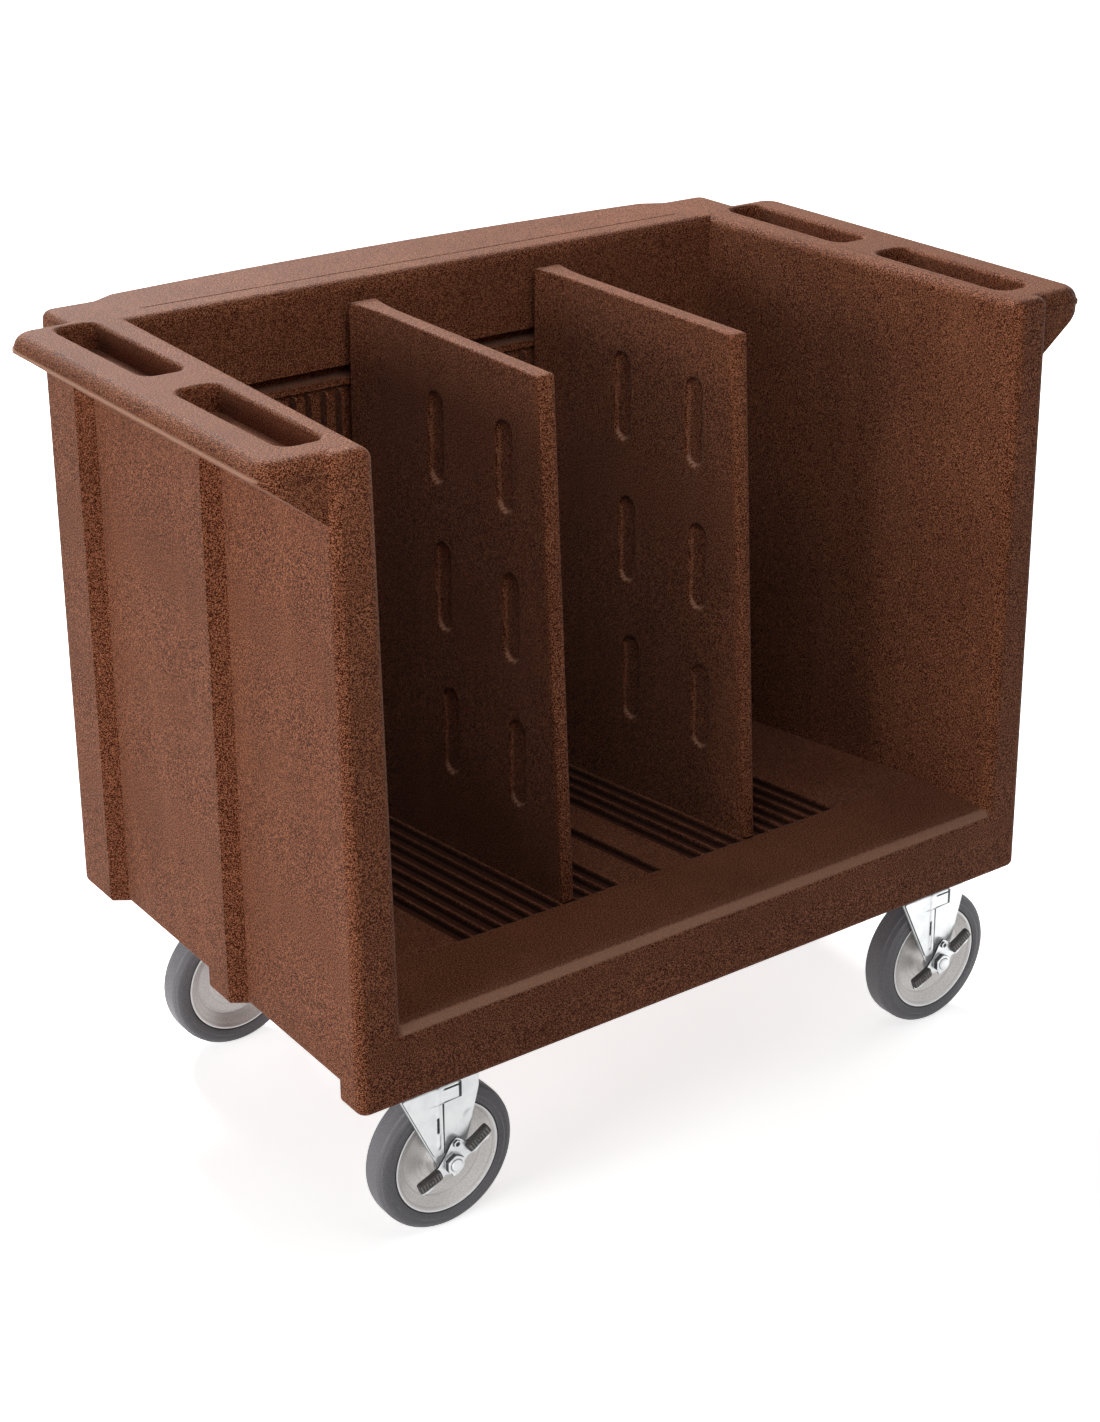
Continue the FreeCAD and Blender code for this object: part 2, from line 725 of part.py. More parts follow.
def makeDivider(name, middle):
    body = newBody(name)
    foot = frontFace + size.dividerStart
    back = rackFace - size.seatGap
    low = deckBack
    tongueWidth = grooveWidth - size.seatGap * 2
    lean = size.dividerLean / (size.dividerHeight - size.lipHeight)
    plans = []
    for level, height, width in (("foot", low, tongueWidth),
                                 ("top", size.dividerHeight, size.dividerTopWidth)):
        sketch = sketchOn(body, "XY_Plane", f"{name}_{level}", height)
        dividerPlan(sketch, width, foot + lean * (height - size.lipHeight))
        plans.append(sketch)
    loft(body, "Additive", f"{name}_board", plans)

    # The board stands on the ridges, and a tongue under it fills one groove.
    sketch = sketchOn(body, "YZ_Plane", f"{name}_underside")
    ahead = grooveStart - size.lipWidth
    behind = backWall + size.lipWidth
    outline(sketch, [(ahead, low - size.grooveDepth), (behind, low - size.lipWidth),
                     (behind, deckHeight(behind) + size.seatGap), (ahead, deckHeight(ahead) + size.seatGap)])
    pocket(body, sketch, f"{name}_trim", size.dividerFlareWidth * 2, midplane=True)
    sketch = sketchOn(body, "YZ_Plane", f"{name}_tongue_side")
    start = grooveStart + size.grooveRunOut
    fall = size.seatGap - size.grooveDepth
    rise = size.seatGap * 2
    outline(sketch, [(start, deckHeight(start) + fall), (back, deckHeight(back) + fall),
                     (back, deckHeight(back) + rise), (start, deckHeight(start) + rise)])
    pad(body, sketch, f"{name}_tongue", tongueWidth, midplane=True)

    # Two columns of blind hollows in each face, each row further forward.
    depth = (size.dividerTopWidth - size.pocketWeb) / 2
    for side, face in ((1, "right"), (-1, "left")):
        sketch = sketchOn(body, "YZ_Plane", f"{name}_{face}_hollows", size.dividerTopWidth / 2 * side)
        for row in range(SIZES["pocketRows"]):
            top = size.dividerHeight - size.pocketTopDrop - size.pocketRise * row
            rear = back - size.pocketRearMargin - size.pocketShift * row
            for middleLine in (rear, rear - size.pocketSpacing):
                obround(sketch, middleLine, top - size.pocketLength, top, size.pocketWidth)
        pocket(body, sketch, f"{name}_{face}_pockets", depth, reverse=side < 0)
    top = size.dividerHeight.value
    frontReach = (foot + size.dividerLean + size.pocketWidth / 2).value
    web = (size.pocketWeb / 2).value + size.seatGap.value

    def roundDivider(p, d):
        atFront = abs(d.z) > 0.9 and p.y < frontReach and abs(p.x) > web and p.z > size.lipHeight.value
        return p.z > top - size.seatGap.value or atFront

    roundEdges(body, f"{name}_edges", size.dividerRound, roundDivider)
    moveTo(body, x=middle)
    return body


# ---- the casters ----

axleHeight = size.wheelDiameter / 2
tyreInside = axleHeight - size.tyreThickness
plateBottom = size.undersideHeight - size.plateThickness
crownTop = plateBottom - size.raceHeight - size.sideGap
crownBottom = crownTop - size.crownThickness
legInside = size.hubWidth / 2 + size.sideGap
legOutside = legInside + size.legThickness
linkFace = legOutside + size.sideGap
pedalFace = linkFace + size.linkThickness + size.sideGap
pedalFront = pedalFace + size.pedalThickness
cornerShare = 3 ** -0.5          # hexagon: corner radius over width across the flats


def cylinder(name, radius, height, x=0, y=0, z=0, lying=False):
    # Upright from its base, or lying and reaching towards -Y from it.
    shape = document.addObject("Part::Cylinder", name)
    bind(shape, "Radius", radius)
    bind(shape, "Height", height)
    if lying:
        shape.Placement.Rotation = FreeCAD.Rotation(Vector(1, 0, 0), 90)
    moveTo(shape, x, y, z)
    return shape


def hexagon(name, acrossFlats, height, x=0, y=0, z=0, lying=False):
    shape = document.addObject("Part::Prism", name)
    shape.Polygon = 6
    bind(shape, "Circumradius", acrossFlats * cornerShare)
    bind(shape, "Height", height)
    if lying:
        shape.Placement.Rotation = FreeCAD.Rotation(Vector(1, 0, 0), 90)
    moveTo(shape, x, y, z)
    return shape


def combine(kind, name, base, tool):
    result = document.addObject(f"Part::{kind}", name)
    result.Label = name
    result.Base = base
    result.Tool = tool
    return result


def group(name, pieces):
    result = document.addObject("Part::Compound", name)
    result.Label = name
    result.Links = pieces
    return result


def makePlate(name, x, y):
    body = newBody(name)
    sketch = sketchOn(body, "XY_Plane", f"{name}_plan", plateBottom)
    rectangle(sketch, -size.plateLength / 2, size.plateLength / 2, -size.plateWidth / 2, size.plateWidth / 2)
    pad(body, sketch, f"{name}_pad", size.plateThickness)
    roundEdges(body, f"{name}_corners", size.plateRound, lambda p, d: abs(d.z) > 0.9)
    sketch = sketchOn(body, "XY_Plane", f"{name}_holes", plateBottom)
    circle(sketch, 0, 0, size.kingpinDiameter / 2 + size.fitGap)
    for i in (-1, 1):
        for j in (-1, 1):
            circle(sketch, size.plateHoleLength / 2 * i, size.plateHoleWidth / 2 * j,
                   size.boltDiameter / 2 + size.sideGap)
    pocket(body, sketch, f"{name}_bores", size.plateThickness, reverse=True)
    moveTo(body, x, y)
    return body


def makeKingpin(name, x, y):
    headBottom = crownBottom - size.sideGap - size.kingpinHeadHeight
    length = size.undersideHeight - headBottom
    shank = cylinder(f"{name}_shank", size.kingpinDiameter / 2, length, x, y, headBottom)
    head = cylinder(f"{name}_head", size.kingpinHead / 2, size.kingpinHeadHeight, x, y, headBottom)
    return combine("Fuse", name, shank, head)


def makeRace(name, x, y):
    low = plateBottom - size.raceHeight
    ring = cylinder(f"{name}_ring", size.raceDiameter / 2, size.raceHeight, x, y, low)
    bore = cylinder(f"{name}_bore", size.raceBore / 2, size.raceHeight, x, y, low)
    return combine("Cut", name, ring, bore)


def makeFork(name, x, y, braked):
    body = newBody(name)
    sketch = sketchOn(body, "XZ_Plane", f"{name}_side")
    shoulder = crownTop - size.legShoulder
    outline(sketch, [(size.wheelTrail - size.legBoss, axleHeight, size.legBoss),
                     (size.wheelTrail, axleHeight - size.legBoss, size.legBoss),
                     (size.wheelTrail + size.legBoss, axleHeight),
                     (size.crownFar, shoulder),
                     (size.crownFar, crownTop),
                     (-size.crownNear, crownTop)])
    pad(body, sketch, f"{name}_channel", legOutside * 2, midplane=True)
    face = legOutside.value
    top = crownTop.value
    roundEdges(body, f"{name}_bends", size.legBend,
               lambda p, d: abs(p.z - top) < 0.01 and abs(abs(p.y) - face) < 0.01)
    sketch = sketchOn(body, "YZ_Plane", f"{name}_gap")
    rectangle(sketch, -legInside, legInside, axleHeight - size.legBoss * 2, crownBottom)
    pocket(body, sketch, f"{name}_clearing", size.crownFar * 4, midplane=True)
    sketch = sketchOn(body, "XY_Plane", f"{name}_race", crownBottom)
    circle(sketch, 0, 0, size.crownDiameter / 2)
    pad(body, sketch, f"{name}_crown", size.crownThickness)
    sketch = sketchOn(body, "XY_Plane", f"{name}_pin_plan", crownTop)
    circle(sketch, 0, 0, size.kingpinDiameter / 2 + size.runningGap)
    pocket(body, sketch, f"{name}_pin_bore", size.crownThickness)
    sketch = sketchOn(body, "XZ_Plane", f"{name}_axle_front")
    circle(sketch, size.wheelTrail, axleHeight, size.axleDiameter / 2 + size.fitGap)
    pocket(body, sketch, f"{name}_axle_bore", legOutside * 4, midplane=True)
    if braked:
        sketch = sketchOn(body, "XZ_Plane", f"{name}_window_front")
        half = size.shoeLength / 2 + size.windowGap
        rectangle(sketch, size.wheelTrail - half, size.wheelTrail + half,
                  size.wheelDiameter, shoeBottom + size.shoeThickness + size.windowGap)
        pocket(body, sketch, f"{name}_window", legOutside * 2, reverse=True)
    moveTo(body, x, y)
    return body


def makeAxle(name, x, y, seat):
    end = seat + size.nutHeight + size.axleOverhang
    shank = cylinder(f"{name}_shank", size.axleDiameter / 2, legOutside + end,
                     x, y + legOutside, axleHeight, lying=True)
    head = hexagon(f"{name}_head", size.wrenchSize, size.nutHeight,
                   x, y + legOutside + size.nutHeight, axleHeight, lying=True)
    return combine("Fuse", name, shank, head)


def makeNut(name, x, y, seat):
    block = hexagon(f"{name}_block", size.wrenchSize, size.nutHeight, x, y - seat, axleHeight, lying=True)
    bore = cylinder(f"{name}_thread", size.axleDiameter / 2, size.nutHeight,
                    x, y - seat, axleHeight, lying=True)
    return combine("Cut", name, block, bore)


def makeBearing(name, x, y):
    half = size.hubWidth / 2
    ring = cylinder(f"{name}_ring", size.bearingDiameter / 2, size.hubWidth,
                    x, y + half, axleHeight, lying=True)
    bore = cylinder(f"{name}_bore", size.axleDiameter / 2 + size.runningGap, size.hubWidth,
                    x, y + half, axleHeight, lying=True)
    return combine("Cut", name, ring, bore)


def makeWheel(name, x, y):
    # The wheel's centre: hub, dished web and rim, turned about the axle.
    body = newBody(name)
    sketch = sketchOn(body, "YZ_Plane", f"{name}_section")
    bore = size.bearingDiameter / 2 + size.fitGap
    hub = size.hubDiameter / 2
    rimInside = tyreInside - size.rimDepth
    thick = size.webThickness / 2
    half = [(size.hubWidth / 2, bore),
            (size.hubWidth / 2, hub),
            (thick + size.webDish, hub + size.webDish),
            (thick, rimInside - size.rimDepth),
            (size.rimWidth / 2, rimInside),
            (size.rimWidth / 2, tyreInside)]
    outline(sketch, half + [(-across, radius) for across, radius in reversed(half)])
    turn(body, sketch, f"{name}_turned")
    moveTo(body, x, y, axleHeight)
    return body


def makeTyre(name, x, y):
    body = newBody(name)
    sketch = sketchOn(body, "YZ_Plane", f"{name}_section")
    half = size.tyreWidth / 2
    seat = tyreInside + size.fitGap
    shoulder = size.tyreShoulder
    outline(sketch, [(-half, seat), (half, seat),
                     (half, axleHeight - shoulder, shoulder),
                     (half - shoulder, axleHeight),
                     (shoulder - half, axleHeight, shoulder),
                     (-half, axleHeight - shoulder)])
    turn(body, sketch, f"{name}_turned")
    moveTo(body, x, y, axleHeight)
    return body


# ---- the front brakes ----

shoeBottom = size.wheelDiameter + size.shoeGap + size.shoeLift


def makeLink(name, x, y):
    # A plate on the fork's front face. Its bent-in end is the shoe over the tyre.
    body = newBody(name)
    foot = axleHeight + size.linkFoot
    headLow = axleHeight + size.linkHeadLow
    headTop = headLow + size.linkHeadHeight
    fall = (size.wheelTrail - size.legBoss + size.crownNear) / (crownTop - axleHeight)
    lead = size.wheelTrail - size.legBoss + size.linkInset
    rear = size.wheelTrail - size.linkRear
    headRear = size.wheelTrail + size.linkHeadRear
    sketch = sketchOn(body, "XZ_Plane", f"{name}_front", linkFace)
    outline(sketch, [(lead - fall * size.linkFoot, foot), (rear, foot), (rear, headLow), (headRear, headLow),
                     (headRear, headTop), (lead - fall * (headTop - axleHeight), headTop)])
    pad(body, sketch, f"{name}_plate", size.linkThickness)
    sketch = sketchOn(body, "XZ_Plane", f"{name}_shoe_end", linkFace)
    half = size.shoeLength / 2
    rectangle(sketch, size.wheelTrail - half, size.wheelTrail + half,
              shoeBottom, shoeBottom + size.shoeThickness)
    pad(body, sketch, f"{name}_shoe", linkFace + size.shoeReach, reverse=True)
    moveTo(body, x, y)
    return body


def armOutline(start, margin):
    # Both arms of the pedal, as outlines that begin at a distance from the axle.
    half = size.pedalArm / 2 + margin
    arms = []
    for way, climb in ((1, size.pedalRise), (-1, -size.pedalDrop)):
        slope = climb / size.pedalReach
        end = size.pedalReach + margin
        near, far = (start, end) if way > 0 else (end, start)
        arms.append([(near * way, slope * near - half), (far * way, slope * far - half),
                     (far * way, slope * far + half), (near * way, slope * near + half)])
    return arms


def makePedal(name, x, y):
    body = newBody(name)
    for number, corners in enumerate(armOutline(asSize(0), asSize(0))):
        sketch = sketchOn(body, "XZ_Plane", f"{name}_arm_{number}", pedalFace)
        outline(sketch, corners)
        pad(body, sketch, f"{name}_arm_pad_{number}", size.pedalThickness)
    sketch = sketchOn(body, "XZ_Plane", f"{name}_eye", pedalFace)
    circle(sketch, 0, 0, size.pedalEye)
    pad(body, sketch, f"{name}_eye_pad", size.pedalThickness)
    sketch = sketchOn(body, "XZ_Plane", f"{name}_bore_front", pedalFace)
    circle(sketch, 0, 0, size.axleDiameter / 2 + size.runningGap)
    pocket(body, sketch, f"{name}_bore", size.pedalThickness, reverse=True)
    moveTo(body, x, y, axleHeight)
    return body


def makePads(name, x, y):
    # Rubber caps clipped over the ends of the pedal's arms.
    caps = []
    start = size.pedalReach - size.padLength
    outlines = zip(armOutline(start, size.padMargin), armOutline(start, asSize(0)))
    for number, (rubber, arm) in enumerate(outlines):
        body = newBody(f"{name}_{number}")
        sketch = sketchOn(body, "XZ_Plane", f"{name}_{number}_front", pedalFace)
        outline(sketch, rubber)
        pad(body, sketch, f"{name}_{number}_cap", size.padThickness)
        sketch = sketchOn(body, "XZ_Plane", f"{name}_{number}_arm", pedalFace)
        outline(sketch, arm)
        pocket(body, sketch, f"{name}_{number}_seat", size.pedalThickness, reverse=True)
        moveTo(body, x, y, axleHeight)
        caps.append(body)
    return group(name, caps)


def makeCaster(place, x, y, braked):
    # The axle lies behind the kingpin, and the nut is seated on the leg or on the pedal.
    wheelX = x + size.wheelTrail
    seat = pedalFront + size.sideGap if braked else legOutside
    pieces = [makePlate(f"plate_{place}", x, y),
              makeKingpin(f"kingpin_{place}", x, y),
              makeRace(f"ball_race_{place}", x, y),
              makeFork(f"fork_{place}", x, y, braked),
              makeAxle(f"axle_{place}", wheelX, y, seat),
              makeNut(f"axle_nut_{place}", wheelX, y, seat),
              makeBearing(f"bearing_{place}", wheelX, y),
              makeWheel(f"wheel_{place}", wheelX, y),
              makeTyre(f"tyre_{place}", wheelX, y)]
    if braked:
        pieces += [makeLink(f"brake_link_{place}", x, y),
                   makePedal(f"brake_pedal_{place}", wheelX, y),
                   makePads(f"pedal_pads_{place}", wheelX, y)]
    return pieces


def makeFasteners():
    # Each plate is held by four bolts in threaded inserts, with a washer under each head.
    bolts, washers, inserts = [], [], []
    shank = size.boltDiameter / 2
    washerBottom = plateBottom - size.washerThickness
    headBottom = washerBottom - size.boltHeadHeight
    for number, (x, y) in enumerate(boltPlaces()):
        length = size.undersideHeight + size.boltGrip - headBottom
        stem = cylinder(f"bolt_shank_{number}", shank, length, x, y, headBottom)
        head = hexagon(f"bolt_head_{number}", size.boltWrench, size.boltHeadHeight, x, y, headBottom)
        bolts.append(combine("Fuse", f"bolt_{number}", stem, head))
        disc = cylinder(f"washer_disc_{number}", size.washerDiameter / 2, size.washerThickness,
                        x, y, washerBottom)
        bore = cylinder(f"washer_bore_{number}", shank + size.fitGap, size.washerThickness,
                        x, y, washerBottom)
        washers.append(combine("Cut", f"washer_{number}", disc, bore))
        inserts.append(combine("Cut", f"insert_{number}",
                               cylinder(f"insert_case_{number}", size.insertDiameter / 2, size.insertLength,
                                        x, y, size.undersideHeight),
                               cylinder(f"insert_bore_{number}", shank + size.fitGap, size.insertLength,
                                        x, y, size.undersideHeight)))
    return [group("plate_bolts", bolts), group("plate_washers", washers), group("thread_inserts", inserts)]


# ---- the whole cart ----

def exportAll(pieces):
    document.recompute()
    failed = [item.Name for item in document.Objects if {"Invalid", "Error"} & set(item.State)]
    if failed:
        raise RuntimeError(f"failed objects: {failed}")
    for piece in pieces:
        if piece.Shape.isNull() or not piece.Shape.isValid():
            raise RuntimeError(f"bad shape: {piece.Label}")
    os.makedirs("parts", exist_ok=True)
    for piece in pieces:
        piece.Shape.exportStep(f"parts/{piece.Label}.step")
        print(piece.Label, round(piece.Shape.Volume), len(piece.Shape.Solids))


pieces = [makeTub(),
          makeDivider("divider_left", -size.groovePitch * size.leftDividerPitch),
          makeDivider("divider_right", size.groovePitch * size.rightDividerPitch)]
for caster in casterPlaces():
    pieces += makeCaster(*caster)
pieces += makeFasteners()
exportAll(pieces)
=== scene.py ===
import math

import bpy
import numpy as np
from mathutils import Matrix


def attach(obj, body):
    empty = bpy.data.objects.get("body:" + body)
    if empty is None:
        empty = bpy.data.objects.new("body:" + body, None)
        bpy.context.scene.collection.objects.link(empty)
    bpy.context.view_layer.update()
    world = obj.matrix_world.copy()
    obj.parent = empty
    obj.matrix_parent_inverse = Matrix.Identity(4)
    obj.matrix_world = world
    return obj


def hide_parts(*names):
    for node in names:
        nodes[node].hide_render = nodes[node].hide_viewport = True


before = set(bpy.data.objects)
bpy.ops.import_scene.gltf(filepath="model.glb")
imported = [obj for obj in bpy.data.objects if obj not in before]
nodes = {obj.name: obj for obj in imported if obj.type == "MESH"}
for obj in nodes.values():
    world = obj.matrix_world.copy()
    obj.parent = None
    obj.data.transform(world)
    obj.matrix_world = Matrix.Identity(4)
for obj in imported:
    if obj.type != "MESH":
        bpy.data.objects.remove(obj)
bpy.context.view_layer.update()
print("frame loaded:", len(nodes), "nodes")


# Shader maths: a Wire stands for one output of a node, and its operators add Math nodes.
class Wire:
    def __init__(self, finish, socket):
        self.finish = finish
        self.socket = socket

    def calculate(self, operation, first, second):
        return self.finish.add("ShaderNodeMath", {"operation": operation}, {0: first, 1: second})

    def __add__(self, other):
        return self.calculate("ADD", self, other)

    def __radd__(self, other):
        return self.calculate("ADD", other, self)

    def __sub__(self, other):
        return self.calculate("SUBTRACT", self, other)

    def __rsub__(self, other):
        return self.calculate("SUBTRACT", other, self)

    def __mul__(self, other):
        return self.calculate("MULTIPLY", self, other)

    def __rmul__(self, other):
        return self.calculate("MULTIPLY", other, self)

    def larger(self, other):
        return self.calculate("MAXIMUM", self, other)

    def ramp(self, low, high):
        # 0 below low, 1 above high, smooth between them
        return self.finish.add("ShaderNodeMapRange", {"interpolation_type": "SMOOTHSTEP"},
                               {0: self, 1: low, 2: high, 3: 0.0, 4: 1.0})

    def band(self, low, high, soft):
        # 1 between low and high, 0 a soft width below and half of it above
        return self.ramp(low - soft, low) * (1 - self.ramp(high, high + soft / 2))

    def past(self, side, soft):
        # 0 where the value's size is under side, 1 a soft width past it: the squares are compared
        return (self * self).ramp(side ** 2, (side + soft) ** 2)


class Finish:
    # The nodes of one material or world. add() takes a node's type, its settings, and the values or
    # links of its sockets.
    def __init__(self, owner, shader="Principled BSDF"):
        owner.use_nodes = True
        self.owner = owner
        self.nodes = owner.node_tree.nodes
        self.links = owner.node_tree.links
        self.shader = self.nodes[shader]

    def add(self, kind, settings, values, output=0):
        node = self.nodes.new(kind)
        for name, value in settings.items():
            setattr(node, name, value)
        for place, value in values.items():
            self.put(node.inputs[place], value)
        return Wire(self, node.outputs[output])

    def put(self, socket, value):
        if isinstance(value, Wire):
            self.links.new(value.socket, socket)
        elif isinstance(value, tuple) and len(socket.default_value) > len(value):
            socket.default_value = (*value, 1)      # a colour gets its alpha
        else:
            socket.default_value = value

    def set(self, values):
        for name, value in values.items():
            self.put(self.shader.inputs[name], value)
        return self.owner

    def place(self):
        return self.add("ShaderNodeTexCoord", {}, {}, "Object")

    def attribute(self, name, output="Fac"):
        return self.add("ShaderNodeAttribute", {"attribute_name": name}, {}, output)

    def noise(self, at, scale, detail, roughness):
        return self.add("ShaderNodeTexNoise", {}, {"Vector": at, "Scale": scale, "Detail": detail,
                                                   "Roughness": roughness})

    def stretched(self, at, scale):
        return self.add("ShaderNodeMapping", {}, {"Vector": at, "Scale": scale})

    def length(self, vector):
        return self.add("ShaderNodeVectorMath", {"operation": "LENGTH"}, {0: vector}, "Value")

    def fromAxle(self, own):
        # Distance from a wheel's axle, which lies along y
        return self.length(self.stretched(own, (1.0, 0.0, 1.0)))

    def mix(self, factor, first, second):
        return self.add("ShaderNodeMix", {"data_type": "RGBA"}, {0: factor, 6: first, 7: second}, 2)

    def bump(self, height, distance):
        return self.add("ShaderNodeBump", {}, {"Height": height, "Distance": distance, "Strength": 1.0})

    def seen(self):
        # 1 for what the camera sees, straight, in a reflection or through glass
        first, second, third = (self.add("ShaderNodeLightPath", {}, {}, f"Is {kind} Ray")
                                for kind in ("Camera", "Glossy", "Transmission"))
        return first.larger(second).larger(third)


# Brown moulded plastic. A noise is given by its scale per metre, detail and roughness, and a range is
# where a tone starts and where it is full.
mouldedValues = {
    "colour": (0.118, 0.026, 0.0072),
    "dark": (0.032, 0.005, 0.0015),
    "light": (0.460, 0.180, 0.092),
    "highlight": (0.560, 0.310, 0.210),   # painted highlight along moulded edges and on the hollows' lit walls
    "roughness": 0.58,
    "roughnessSpread": 0.3,
    "gloss": 0.03,
    "sheen": 0.17,
    "sheenRoughness": 0.45,
    "sheenTint": (1.0, 0.84, 0.74),
    "speckles": (1000.0, 2.0, 0.7),
    "flecks": (500.0, 2.0, 0.6),
    "fleckShare": 0.3,
    "paleRange": (0.505, 0.555),     # of the grain
    "darkRange": (0.455, 0.50),
    "darkShare": 0.95,
    "clouds": (6.0, 3.0, 0.55),
    "cloudRange": (0.35, 0.75),
    "cloudShare": 0.20,
    "streaks": (9.0, 2.0, 0.5),
    "streakStretch": (3.0, 3.0, 0.35),
    "streakRange": (0.45, 0.8),
    "streakShare": 0.10,
    "pebble": 0.00060,       # height of the moulded grain, in metres
    "beadBand": (0.7990, 0.8025, 0.001),     # low, high and softness: the rails' bead gets a painted highlight
    "beadSide": (0.4740, 0.002),     # its inner side and softness
    "lipBand": (0.2600, 0.2648, 0.003),      # the lip's front edge gets a painted highlight
    "lipRear": (-0.2800, -0.2740),
    "lipSide": (0.3640, 0.008),
    "edgeHighlightShare": 0.6,
    "deckHeight": 0.2660,    # at its front end, from where it falls to the back
    "deckBand": (-0.1940, 0.1680, 0.002),    # its front and rear end
    "deckFall": 0.1099,
    "deckSide": (0.2400, 0.004),     # half width of the grooves' field
    "grooveDepths": (0.0010, 0.0035),    # below the deck, painted shade
    "grooveFloor": (0.203, 0.206),       # nothing lower than this is a groove
    "grooveShadeShare": 0.85,
    "highlightShare": 0.85,
    "shadedShare": 0.9,
}


def makeMoulded():
    v = mouldedValues
    finish = Finish(bpy.data.materials.new("moulded_brown"))
    place = finish.place()
    speckle = finish.noise(place, *v["speckles"])
    fleck = finish.noise(place, *v["flecks"])
    cloud = finish.noise(place, *v["clouds"])
    streak = finish.noise(finish.stretched(place, v["streakStretch"]), *v["streaks"])
    grain = speckle * (1 - v["fleckShare"]) + fleck * v["fleckShare"]
    base = finish.mix(grain.ramp(*v["paleRange"]), v["colour"], v["light"])
    base = finish.mix((1 - grain.ramp(*v["darkRange"])) * v["darkShare"], base, v["dark"])
    base = finish.mix(cloud.ramp(*v["cloudRange"]) * v["cloudShare"], base, v["dark"])
    base = finish.mix(streak.ramp(*v["streakRange"]) * v["streakShare"], base, v["light"])
    # Painted highlight along the rails' bead and the lip's front edge, painted shade down in the deck's
    # grooves
    x, y, z = (finish.add("ShaderNodeSeparateXYZ", {}, {0: place}, letter) for letter in "XYZ")
    bead = z.band(*v["beadBand"]) * x.past(*v["beadSide"])
    edge = z.band(*v["lipBand"]) * (1 - y.ramp(*v["lipRear"]))
    edge = edge * (1 - x.past(*v["lipSide"]))
    below = v["deckHeight"] - v["deckFall"] * (y - v["deckBand"][0]) - z
    grooveShade = below.ramp(*v["grooveDepths"]) * y.band(*v["deckBand"]) * z.ramp(*v["grooveFloor"])
    grooveShade = grooveShade * (1 - x.past(*v["deckSide"]))
    # The piece's shade attribute: painted highlight below 0 and painted shade above it
    shade = finish.attribute("shade")
    highlight = (0 - shade).ramp(0.0, 1.0) * v["highlightShare"] + bead * v["edgeHighlightShare"] + edge * v["edgeHighlightShare"]
    base = finish.mix(highlight, base, v["highlight"])
    # Painted shade in the deck's grooves
    base = finish.mix(grooveShade * v["grooveShadeShare"], base, v["dark"])
    base = finish.mix(shade.ramp(0.0, 1.0) * v["shadedShare"], base, v["dark"])
    return finish.set({
        "Base Color": base,
        "Roughness": v["roughness"] + (speckle - 0.5) * v["roughnessSpread"],
        "Specular IOR Level": v["gloss"],
        "Sheen Weight": v["sheen"],
        "Sheen Roughness": v["sheenRoughness"],
        "Sheen Tint": v["sheenTint"],
        "Normal": finish.bump(grain, v["pebble"]),
    })


paintedShade = (0.035, 0.035, 0.038)      # painted shade along sheet edges, in gaps and seams and in deep corners
shadeRange = (0.2, 0.9)      # where a piece's painted shade starts and is full, on metal and tyres

zincValues = {
    "colour": (0.87, 0.885, 0.89),
    "dull": (0.76, 0.785, 0.80),
    "fine": (1100.0, 2.0, 0.5),
    "clouds": (60.0, 3.0, 0.6),
    "cloudRange": (0.35, 0.75),
    "rolled": (160.0, 2.0, 0.5),     # streaks of the rolled sheet
    "rolledStretch": (1.0, 1.0, 0.08),
    "rolledRange": (0.5, 0.8),
    "rolledShare": 0.3,
    "metallic": 0.75,
    "roughness": 0.26,
    "roughnessSpread": 0.14,
    "relief": 0.00003,
}


def makeZinc():
    v = zincValues
    finish = Finish(bpy.data.materials.new("zinc_steel"))
    place = finish.place()
    fine = finish.noise(place, *v["fine"])
    cloud = finish.noise(place, *v["clouds"])
    rolled = finish.noise(finish.stretched(place, v["rolledStretch"]), *v["rolled"])
    base = finish.mix(cloud.ramp(*v["cloudRange"]), v["colour"], v["dull"])
    base = finish.mix(rolled.ramp(*v["rolledRange"]) * v["rolledShare"], base, v["dull"])
    # Painted shade where the piece's shade attribute says so
    base = finish.mix(finish.attribute("shade").ramp(*shadeRange), base, paintedShade)
    return finish.set({
        "Base Color": base,
        "Metallic": v["metallic"],
        "Roughness": v["roughness"] + cloud * v["roughnessSpread"],
        "Normal": finish.bump(fine + rolled, v["relief"]),
    })


wheelGreyValues = {
    "colour": (0.92, 0.895, 0.88),
    "dark": (0.64, 0.605, 0.585),
    "ring": (1.0, 1.0, 1.0),         # painted highlight on the raised bead round the disc
    "ringFrom": (0.0552, 0.0557),    # its radii
    "ringTo": (0.0573, 0.0577),
    "ringHighlightShare": 0.9,
    "grain": (1500.0, 2.0, 0.6),
    "grainRange": (0.34, 0.62),
    "lathe": (420.0, 2.0, 0.6),      # arcs left by turning
    "latheRange": (0.48, 0.66),
    "latheShare": 0.9,
    "latheRelief": 0.6,
    "patches": (12.0, 2.0, 0.5),
    "patchRange": (0.38, 0.60),
    "metallic": 0.38,
    "roughness": 0.42,
    "gloss": 0.5,
    "relief": 0.00010,
}


